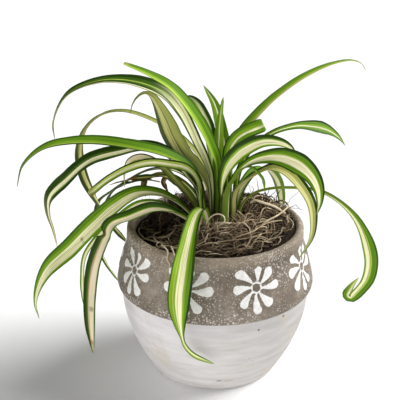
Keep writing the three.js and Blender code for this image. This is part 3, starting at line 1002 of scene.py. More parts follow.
        # Painted light and shade: the glaze is painted lighter at the left and darker at the right.
        colour = wiring.lit(wiring.range(x, -0.06, 0.06, 1.26, 0.78), colour)
        area = wiring.noise(place, 34.0, 6.0, 0.7)
        colour = wiring.blend(wiring.range(area, 0.54, 0.72, 0.0, 0.5), colour, (196, 182, 156))
        few = self.specks(wiring, place, 120.0, wiring.range(area, 0.48, 0.68, 0.0, 0.08))
        colour = wiring.blend(wiring.times(few, 0.6), colour, (138, 124, 108))
        for mark in self.marks:
            colour = wiring.blend(mark.share(wiring, parts), colour, (84, 68, 54))
        return colour

    def material(self) -> bpy.types.Material:
        """Stoneware above the lip and glaze on the bowl, with a painted shadow line under the lip between
        them.
        """
        wiring = Wiring("pot_finish")
        place = wiring.place()
        x, y, z = wiring.split(place)
        broad = wiring.noise(place, 38.0, 4.0, 0.6)
        grain = wiring.noise(place, 420.0, 5.0, 0.7)
        brushed = wiring.noise(wiring.combine(x, y, wiring.times(z, 7.0)), 26.0, 6.0, 0.62)
        band = self.stoneware(wiring, place, z, broad, grain)
        bowl = self.glaze(wiring, place, (x, y, z), brushed)
        uneven = wiring.times(wiring.minus(broad, 0.5), 0.0012)
        colour = wiring.blend(wiring.range(wiring.plus(z, uneven), 0.0652, 0.0658), bowl, band)
        # A dark line painted where the band meets the bowl: painted shadow under the overhanging lip.
        painted_lip_shadow = wiring.range(wiring.away(z, 0.0656), 0.0009, 0.0001, 0.0, 0.55)
        colour = wiring.blend(painted_lip_shadow, colour, (92, 80, 68))
        height = wiring.plus(wiring.times(grain, 0.6), wiring.times(brushed, 0.25))
        roughness = wiring.range(grain, 0.2, 0.8, 0.55, 0.8)
        return wiring.finish(colour, roughness, 0.35, wiring.bump(height, 0.4, 0.25))

    def build(self) -> None:
        """Builds the pot in place of its CAD node."""
        place_piece(self.mesh(), "pot_body", ["pot"], self.material())


def turned_mesh(
    name: str, outline: Sequence[Span], segments: int, lift: Callable[[float, float, float], float]
) -> bpy.types.Mesh:
    """Turns an outline that starts and ends on the axis, with its points raised by a rule.

    Args:
        name: The mesh's name.
        outline: Radius and height from the bottom of the axis, round the outside, to the top of the axis.
        segments: How many sides it has.
        lift: Gives the rise in millimetres at x, y and height.

    Returns:
        The closed mesh.
    """
    rings = outline[1:-1]
    points = []
    for radius, height in rings:
        for i in range(segments):
            x, y = polar(radius, 2 * math.pi * i / segments)
            points.append((x * MM, y * MM, (height + lift(x, y, height)) * MM))
    top = outline[-1][1]
    points += [(0.0, 0.0, outline[0][1] * MM), (0.0, 0.0, (top + lift(0, 0, top)) * MM)]
    return make_mesh(name, points, turned_body(len(rings) - 1, segments))


@dataclass(frozen=True)
class EarthFinish:
    """A crumbly or fibrous ground in three tones, from its hollows to its crests."""

    name: str
    tones: tuple[Colour, Colour, Colour]
    scale: float = 260.0
    depth: float = 1.2

    def material(self) -> bpy.types.Material:
        """Builds the material."""
        wiring = Wiring(self.name)
        place = wiring.place()
        coarse = wiring.noise(place, self.scale, 6.0, 0.7)
        fine = wiring.noise(place, self.scale * 4, 4.0, 0.7)
        together = wiring.plus(wiring.times(coarse, 0.65), wiring.times(fine, 0.35))
        colour = wiring.ramp(together, list(zip((0.36, 0.5, 0.66), self.tones)))
        return wiring.finish(colour, 0.95, 0.15, wiring.bump(together, self.depth, 0.9))


class NodeRig(Nodes):
    """A Geometry Nodes tree with named inputs, applied to a mesh and turned into a plain mesh."""

    def __init__(self, name: str, inputs: dict[str, str]) -> None:
        """Starts a tree.

        Args:
            name: The tree's name.
            inputs: Input names with their socket types.
        """
        super().__init__(bpy.data.node_groups.new(name, "GeometryNodeTree"))
        sockets = self.tree.interface
        sockets.new_socket("Geometry", in_out="INPUT", socket_type="NodeSocketGeometry")
        for label, kind in inputs.items():
            sockets.new_socket(label, in_out="INPUT", socket_type=kind)
        sockets.new_socket("Geometry", in_out="OUTPUT", socket_type="NodeSocketGeometry")
        self.source = self.tree.nodes.new("NodeGroupInput").outputs
        self.result = self.tree.nodes.new("NodeGroupOutput")

    def close(self, geometry: Socket, material: bpy.types.Material) -> None:
        """Ends the tree in realized geometry with a material."""
        real = self.add("GeometryNodeRealizeInstances", {0: geometry})
        painted = self.add("GeometryNodeSetMaterial", {0: real.outputs[0], "Material": material})
        self.tree.links.new(painted.outputs[0], self.result.inputs[0])

    def apply(self, mesh: bpy.types.Mesh, name: str, values: dict[str, object]) -> bpy.types.Mesh:
        """Runs the tree on a mesh.

        Args:
            mesh: What the tree takes.
            name: The name of the result.
            values: The tree's inputs by name.

        Returns:
            A plain mesh, with the modifier and its carrier object gone.
        """
        carrier = bpy.data.objects.new(name + "_carrier", mesh)
        bpy.context.scene.collection.objects.link(carrier)
        modifier = carrier.modifiers.new(name, "NODES")
        modifier.node_group = self.tree
        for item in self.tree.interface.items_tree:
            if item.item_type == "SOCKET" and item.in_out == "INPUT" and item.name in values:
                modifier[item.identifier] = values[item.name]
        graph = bpy.context.evaluated_depsgraph_get()
        made = bpy.data.meshes.new_from_object(carrier.evaluated_get(graph))
        made.name = name
        carrier.modifiers.remove(modifier)
        bpy.data.objects.remove(carrier)
        return made


class CrumbScatter(NodeRig):
    """Scatters small uneven crumbs over a surface."""

    POINT_SEED = 5
    SIZE_SEED = 3
    TURN_SEED = 8
    FULL_TURN = (6.3, 6.3, 6.3)
    DENT_SCALE = 900.0
    DENT_DEPTH = 0.0016

    def __init__(self, name: str, material: bpy.types.Material) -> None:
        """Builds the tree once, with the crumbs' material."""
        super().__init__(name, dict.fromkeys(("Density", "Least radius", "Most radius"), "NodeSocketFloat"))
        source = self.source
        spread = self.add(
            "GeometryNodeDistributePointsOnFaces",
            {0: source["Geometry"], "Density": source["Density"], "Seed": self.POINT_SEED},
        )
        crumb = self.add("GeometryNodeMeshIcoSphere", {"Radius": 1.0, "Subdivisions": 2})
        sizes = {"Min": source["Least radius"], "Max": source["Most radius"], "Seed": self.SIZE_SEED}
        size = self.add("FunctionNodeRandomValue", sizes, data_type="FLOAT")
        turns = {0: (0, 0, 0), 1: self.FULL_TURN, "Seed": self.TURN_SEED}
        turn = self.add("FunctionNodeRandomValue", turns, data_type="FLOAT_VECTOR")
        shape = {"Instance": crumb.outputs[0], "Rotation": turn.outputs[0], "Scale": size.outputs["Value"]}
        copies = self.add("GeometryNodeInstanceOnPoints", {0: spread.outputs[0], **shape})
        real = self.add("GeometryNodeRealizeInstances", {0: copies.outputs[0]})
        dents = self.add("ShaderNodeTexNoise", {"Scale": self.DENT_SCALE, "Detail": 1.0})
        centred = {0: dents.outputs["Color"], 1: (0.5, 0.5, 0.5)}
        middle = self.add("ShaderNodeVectorMath", centred, operation="SUBTRACT")
        shallow = {0: middle.outputs[0], "Scale": self.DENT_DEPTH}
        depth = self.add("ShaderNodeVectorMath", shallow, operation="SCALE")
        rough = self.add("GeometryNodeSetPosition", {0: real.outputs[0], "Offset": depth.outputs[0]})
        self.close(rough.outputs[0], material)


@dataclass
class Soil:
    """The soil that fills the pot, with loose crumbs on it."""

    finish: EarthFinish
    segments: int = 160
    crumbs_per_square_metre: float = 170000.0
    crumb_radius: Span = (0.5, 1.5)
    sheet_rings: int = 16
    sheet_sides: int = 96
    sheet_inner: float = 21.5
    sheet_margin: float = 2.2
    lump_height: float = 0.9
    lump_size: float = 7.0
    gap: float = 0.3
    wall_gap: float = 0.42
    pocket_radius: float = 20.6
    pocket_floor: float = 94.7

    def height_of(self, x: float, y: float, height: float) -> float:
        """The lumps of the soil's top."""
        if height < Form.SOIL_EDGE - 1:
            return 0.0
        fade = smooth((Form.INSIDE - math.hypot(x, y)) / 2)
        place = Vector((x / self.lump_size, y / self.lump_size, 1.3))
        return self.lump_height * noise.fractal(place, 0.7, 2.1, 4) * fade - 0.3

    def bed(self) -> bpy.types.Mesh:
        """The filled body of soil."""
        floor = Form.FLOOR + self.gap
        outline = [(0.0, floor)]
        for height in (floor, *Form.INSIDE_HEIGHTS, Form.SOIL_EDGE):
            outline.append((Form.inside(height) - self.wall_gap, height))
        for share in (0.97, 0.92, 0.86, 0.8, 0.74, 0.68, 0.62, 0.56, 0.5, 0.44, 0.38):
            radius = Form.INSIDE * share
            outline.append((radius, Form.soil(radius)))
        pocket = self.pocket_radius
        outline += [(pocket, Form.soil(pocket)), (pocket, self.pocket_floor), (0.0, self.pocket_floor)]
        return turned_mesh("soil_bed", outline, self.segments, self.height_of)

    def top_sheet(self) -> bpy.types.Mesh:
        """The part of the top that crumbs lie on: a ring between the crown and the wall."""
        points = []
        for ring in range(self.sheet_rings + 1):
            radius = mix(self.sheet_inner, Form.INSIDE - self.sheet_margin, ring / self.sheet_rings)
            for i in range(self.sheet_sides):
                x, y = polar(radius, 2 * math.pi * i / self.sheet_sides)
                height = Form.soil(radius) + self.height_of(x, y, Form.SOIL_TOP) + 0.1
                points.append((x * MM, y * MM, height * MM))
        faces = [(a, d, c, b) for a, b, c, d in lattice(self.sheet_rings, self.sheet_sides)]
        return make_mesh("soil_sheet", points, faces, soft=False)

    def build(self) -> None:
        """Builds the soil and its crumbs."""
        material = self.finish.material()
        place_piece(self.bed(), "soil_bed", ["soil"], material)
        low, high = self.crumb_radius
        inputs = {"Density": self.crumbs_per_square_metre, "Least radius": low * MM, "Most radius": high * MM}
        crumbs = CrumbScatter("crumb_scatter", material).apply(self.top_sheet(), "soil_crumbs", inputs)
        place_piece(crumbs, "soil_crumbs")


@dataclass
class Fibre:
    """One root or dry thread: its line, radius, tone from 0 dark to 1 pale, and how far its ends taper."""

    points: list[Vector]
    radius: float
    tone: float
    taper: float = 0.3


class FibreSweep(NodeRig):
    """Sweeps a round section along drawn lines, each as thick as its points say."""

    def __init__(self, name: str, material: bpy.types.Material) -> None:
        """Builds the tree once, with the fibres' material."""
        super().__init__(name, {"Sides": "NodeSocketInt"})
        lines = self.add("GeometryNodeMeshToCurve", {0: self.source["Geometry"]})
        width = self.add("GeometryNodeInputNamedAttribute", {"Name": "thickness"}, data_type="FLOAT")
        sized = self.add("GeometryNodeSetCurveRadius", {0: lines.outputs[0], "Radius": width.outputs[0]})
        circle = {"Resolution": self.source["Sides"], "Radius": 1.0}
        ring = self.add("GeometryNodeCurvePrimitiveCircle", circle)
        sweep = {0: sized.outputs[0], 1: ring.outputs[0], "Fill Caps": True}
        swept = self.add("GeometryNodeCurveToMesh", sweep)
        if "Scale" in swept.inputs:
            self.tree.links.new(width.outputs[0], swept.inputs["Scale"])
        soft = self.add("GeometryNodeSetShadeSmooth", {0: swept.outputs[0], "Shade Smooth": True})
        self.close(soft.outputs[0], material)

    def place(self, fibres: Sequence[Fibre], name: str, slot: Slot = Slot.ROOTS, sides: int = 4) -> None:
        """Makes one piece of all the fibres, which carries each fibre's tone.

        Args:
            fibres: The drawn lines.
            name: The piece's name.
            slot: Not used.
            sides: The number of sides of each fibre.
        """
        points, edges, thickness, tones = [], [], [], []
        for fibre in fibres:
            start = len(points)
            last = len(fibre.points) - 1
            for i, point in enumerate(fibre.points):
                points.append(point * MM)
                taper = smooth(min(i, last - i) / max(1.0, last * fibre.taper) + 0.35)
                thickness.append(fibre.radius * taper * MM)
                tones.append(fibre.tone)
            edges += [(start + i, start + i + 1) for i in range(last)]
        mesh = bpy.data.meshes.new(name + "_lines")
        mesh.from_pydata(points, edges, [])
        add_numbers(mesh, thickness=thickness, tone=tones)
        place_piece(self.apply(mesh, name, {"Sides": sides}), name)


@dataclass(frozen=True)
class LaidRoot:
    """A root through given points, each as x, y and its rise over the ground, in millimetres."""

    line: tuple[Place, ...]
    radius: float
    tone: float


@dataclass(frozen=True)
class HookedRoot:
    """A pale root that hangs over the rim, through given points as x, y and height."""

    line: tuple[Place, ...]
    radius: float


@dataclass(frozen=True)
class Wander:
    """How a kind of root wanders over the mat, in millimetres."""

    count: int
    length: Span
    radius: Span
    level: Span
    tone: Span
    curl: float
    step: float = 2.2
    follow: float = 0.12
    wobble: float = 0.8
    inner: float = 12.0
    kinks: float = 0.0
    mat_share: float = 1.0
    bare_share: float = 0.35


@dataclass(frozen=True)
class Heap:
    """Loose roots that rise from one side of the mat: where they start, how they arch and how they look."""

    count: int
    azimuth: Span
    radius: Span
    peak: Span
    tone: Span
    reach: Span = (6, 13)
    thickness: Span = (0.18, 0.36)


@dataclass
class RootTangle:
    """The mat of dry roots on the soil: a lumpy bed, wandering fibres, thick pale roots and stray hairs."""

    kinds: tuple[Wander, ...]
    heaps: tuple[Heap, ...]
    laid_roots: tuple[LaidRoot, ...]
    hooked_roots: tuple[HookedRoot, ...]
    seed: int = 4
    outer: float = 55.0
    heap_outer: float = 50.0
    heap_steps: int = 14
    laid_rise: float = 1.8
    laid_step: float = 1.6
    hook_steps: int = 28
    shred_count: int = 34
    shred_steps: int = 12
    hair_count: int = 96
    hair_step: float = 1.3
    slices: int = 180
    bed_columns: int = 14

    def bed(self) -> bpy.types.Mesh:
        """The mat's own body, a crescent that thins out at both ends."""
        columns = self.bed_columns
        radii = [mix(Form.MAT_INNER, Form.MAT_OUTER, i / columns) for i in range(columns + 1)]
        points = []
        for i in range(self.slices + 1):
            share = i / self.slices
            angle = math.radians(mix(Form.MAT_FROM, Form.MAT_TO, share))
            fade = Form.fade(share)
            top, under = [], []
            for radius in radii:
                x, y = polar(radius, angle)
                floor = Form.soil(radius) + 1.8
                full = max(floor, mix(floor, Form.mat(x, y), fade))
                lump = 0.8 * noise.fractal(Vector((x / 5, y / 5, 7.1)), 0.8, 2.1, 4) * fade
                edge = smooth(min(radius - Form.MAT_INNER, Form.MAT_OUTER - radius) / 2)
                top.append(Vector((x, y, full + (lump - 0.4) * edge)))
                under.append(Vector((x, y, Form.soil(radius) + 0.6)))
            points += [corner * MM for corner in top + under[::-1]]
        return make_mesh("root_bed", points, flat_tube(self.slices, 2 * len(radii)))

    def wander(self, kind: Wander, stream: random.Random) -> Fibre:
        """Draws one root that wanders over the ground and dips into it at both ends.

        Args:
            kind: How such roots wander.
            stream: The source of its random draws.

        Returns:
            The root.
        """
        while True:
            azimuth = stream.uniform(-math.pi, math.pi)
            radius = math.sqrt(stream.uniform(kind.inner**2, (self.outer - 1) ** 2))
            x, y = polar(radius, azimuth)
            chance = kind.mat_share if Form.mat_share(x, y) > 0.05 else kind.bare_share
            if stream.random() < chance:
                break
        heading = azimuth + math.pi / 2 * stream.choice((-1, 1)) + stream.gauss(0, 0.8)
        around = 1 if math.sin(heading - azimuth) > 0 else -1
        bend = stream.gauss(0, kind.curl)
        steps = int(stream.uniform(*kind.length) / kind.step)
        level, phase = stream.uniform(*kind.level), stream.uniform(0, 6)
        points = []
        for i in range(steps + 1):
            share = i / steps
            dip = 1.6 * (1 - smooth(min(share, 1 - share) * 5))
            rise = level + kind.wobble * math.sin(phase + i * kind.step / 3.4) - dip
            height = max(Form.soil(math.hypot(x, y)) - 0.4, Form.ground(x, y) + rise)
            points.append(Vector((x, y, height)))
            bend = 0.72 * bend + stream.gauss(0, kind.curl)
            if stream.random() < kind.kinks:
                heading += stream.gauss(0, 0.9)
            azimuth, radius = math.atan2(y, x), math.hypot(x, y)
            course = azimuth + around * math.pi / 2
            pull = kind.follow
            if radius > self.outer - 5:
                course += around * 0.9
                pull = 0.9
            elif radius < kind.inner + 2:
                course -= around * 1.2
                pull = 0.8
            heading += bend + pull * math.sin(course - heading)
            x += kind.step * math.cos(heading)
            y += kind.step * math.sin(heading)
            if math.hypot(x, y) > self.outer:
                scale = self.outer / math.hypot(x, y)
                x, y = x * scale, y * scale
        return Fibre(points, stream.uniform(*kind.radius), stream.uniform(*kind.tone))

    def laid(self, root: LaidRoot) -> Fibre:
        """A root through hand-set points over the ground."""
        points = []
        for x, y, rise in root.line:
            points.append(Vector((x, y, Form.ground(x, y) + rise * (self.laid_rise if rise > 0 else 1))))
        curve = Midline(points)
        steps = max(8, int(curve.length / self.laid_step))
        return Fibre(curve.evenly(steps), root.radius, root.tone, 0.15)

    def pale_roots(self) -> list[Fibre]:
        """The thick pale roots that stand out in the photograph."""
        hooks = []
        for root in self.hooked_roots:
            curve = Midline([Vector(point) for point in root.line])
            hooks.append(Fibre(curve.evenly(self.hook_steps), root.radius, 0.9, 0.4))
        return hooks + [self.laid(root) for root in self.laid_roots]

    def shreds(self, stream: random.Random) -> list[Fibre]:
        """Dry pale shreds of old leaf bases, which hang down the front of the crown."""
        made = []
        for _ in range(self.shred_count):
            azimuth = math.radians(stream.uniform(-135, -25))
            radius = stream.uniform(15, 21)
            foot = Vector((*polar(1, azimuth), 0))
            top = foot * radius + Vector((0, 0, stream.uniform(111, 123)))
            low = foot * (radius + stream.uniform(3, 9))
            low += Vector((stream.gauss(0, 3), stream.gauss(0, 2), 0))
            low.z = Form.ground(low.x, low.y) + stream.uniform(0, 1.6)
            middle = (top + low) / 2 + foot * stream.uniform(0.5, 2.5) + Vector((stream.gauss(0, 1.6), 0, 0))
            curve = Midline([top, middle, low, low + Vector((stream.gauss(0, 4), stream.gauss(0, 3), -0.6))])
            points = curve.evenly(self.shred_steps)
            made.append(Fibre(points, stream.uniform(0.2, 0.42), stream.uniform(0.45, 1.0)))
        return made

    def heap(self, pile: Heap, stream: random.Random) -> list[Fibre]:
        """Loose roots that rise out of the mat in an arch and dip into it again.

        Args:
            pile: Where they lie and how they look.
            stream: The source of their random draws.

        Returns:
            The roots.
        """
        made = []
        steps = self.heap_steps
        for _ in range(pile.count):
            azimuth = math.radians(stream.uniform(*pile.azimuth))
            point = Vector((*polar(stream.uniform(*pile.radius), azimuth), 0))
            peak = stream.uniform(*pile.peak)
            turn = stream.uniform(0, 2 * math.pi)
            reach = stream.uniform(*pile.reach)
            points = []
            for i in range(steps + 1):
                turn += stream.gauss(0, 0.35)
                point = point + Vector((*polar(1, turn), 0)) * (reach * 2 / steps)
                away = math.hypot(point.x, point.y)
                if away > self.heap_outer:
                    point = Vector((point.x * self.heap_outer / away, point.y * self.heap_outer / away, 0))
                height = Form.ground(point.x, point.y) - 1 + peak * math.sin(math.pi * (i / steps))
                points.append(Vector((point.x, point.y, height)))
            made.append(Fibre(points, stream.uniform(*pile.thickness), stream.uniform(*pile.tone)))
        return made

    def hairs(self, stream: random.Random) -> list[Fibre]:
        """Dry hairs that stand out of the mat behind the crown and to the right."""
        made = []
        for _ in range(self.hair_count):
            side = stream.random() < 0.6
            azimuth = math.radians(stream.uniform(8, 80) if side else stream.uniform(105, 165))
            x, y = polar(stream.uniform(26, 52), azimuth)
            lean = Vector((math.cos(azimuth), math.sin(azimuth), stream.uniform(0.1, 1.3))).normalized()
            lean += Vector((stream.gauss(0, 0.5), stream.gauss(0, 0.4), 0))
            point = Vector((x, y, Form.ground(x, y) - 1.2))
            points = [point.copy()]
            for _ in range(int(stream.uniform(8, 20))):
                sway = Vector((stream.gauss(0, 0.24), stream.gauss(0, 0.24), stream.gauss(0, 0.2)))
                lean = (lean + sway).normalized()
                point = point + lean * self.hair_step
                within = math.hypot(point.x, point.y) < self.outer
                floor = Form.ground(point.x, point.y) + 0.3 if within else Form.RIM_HEIGHT + 0.6
                point.z = max(point.z, floor)
                points.append(point.copy())
            made.append(Fibre(points, stream.uniform(0.16, 0.34), stream.uniform(0.0, 0.35), 0.6))
        return made

    @staticmethod
    def fibre_material() -> bpy.types.Material:
        """Dry roots from dark brown to pale tan, with a fine grain, and painted shade that darkens them the
        lower they lie, except the palest.
        """
        wiring = Wiring("root_fibre_finish")
        place = wiring.place()
        tone = wiring.attribute("tone")
        grain = wiring.noise(place, 900.0, 4.0, 0.7)
        patch = wiring.noise(place, 120.0, 3.0, 0.6)
        browns = ((28, 20, 14), (76, 60, 44), (128, 108, 84), (184, 164, 132), (222, 206, 178))
        moved = wiring.plus(tone, wiring.range(patch, 0.3, 0.7, -0.16, 0.16))
        colour = wiring.ramp(moved, list(zip((0.0, 0.3, 0.6, 0.85, 1.0), browns)))
        # Painted shade: the lower a root lies, the darker it is painted; the palest roots are spared.
        painted_low_shade = wiring.range(wiring.split(place)[2], 0.103, 0.116, 0.3, 1.12)
        painted_shade_unless_pale = wiring.math("MAXIMUM", painted_low_shade, wiring.range(tone, 0.76, 0.9, 0.0, 0.98))
        light = wiring.times(painted_shade_unless_pale, wiring.range(grain, 0.3, 0.7, 0.75, 1.12))
        return wiring.finish(wiring.lit(light, colour), 0.82, 0.25, wiring.bump(grain, 0.3, 0.6))

    def build(self) -> None:
        """Builds the bed and all the roots on it."""
        stream = random.Random(self.seed)
        earth = EarthFinish("root_bed_finish", ((14, 10, 7), (34, 26, 18), (62, 49, 35)), 420.0, 1.6)
        place_piece(self.bed(), "root_bed", ["root_mat"], earth.material())
        sweep = FibreSweep("fibre_sweep", self.fibre_material())
        for number, kind in enumerate(self.kinds):
            sweep.place([self.wander(kind, stream) for _ in range(kind.count)], f"root_fibres_{number}")
        sweep.place(self.pale_roots(), "root_pale", sides=8)
        sweep.place(self.hairs(stream), "root_hairs")
        sweep.place([fibre for pile in self.heaps for fibre in self.heap(pile, stream)], "root_heap")
        sweep.place(self.shreds(stream), "crown_shreds", Slot.CROWN)


@dataclass
class Crown:
    """The short base that the leaves grow from."""

    segments: int = 96
    outline: tuple[Span, ...] = (
        (0, 95), (10, 95), (20, 95), (20, 101), (20, 106), (19.4, 108.2), (18, 109.6), (16, 111),
        (12.5, 111.6), (9, 112), (6, 112.1), (3, 112.1), (0, 112.1),
    )

    @staticmethod
    def lift(x: float, y: float, height: float) -> float:
        """The lumps on the crown's top."""
        return 0.8 * noise.fractal(Vector((x / 4, y / 4, 2.2)), 0.8, 2.1, 4) - 0.5 if height > 100 else 0.0

    def build(self) -> None:
        """Builds the crown in place of its CAD node."""
        mesh = turned_mesh("crown_base", self.outline, self.segments, self.lift)
        finish = EarthFinish("crown_finish", ((52, 46, 28), (104, 96, 56), (150, 142, 92)), 240.0, 1.4)
        place_piece(mesh, "crown_base", ["crown"], finish.material())


def bands(*pairs: tuple[Hue, float]) -> Stripes:
    """Stripes across a leaf, each a hue and the share of the width where it ends."""
    return pairs


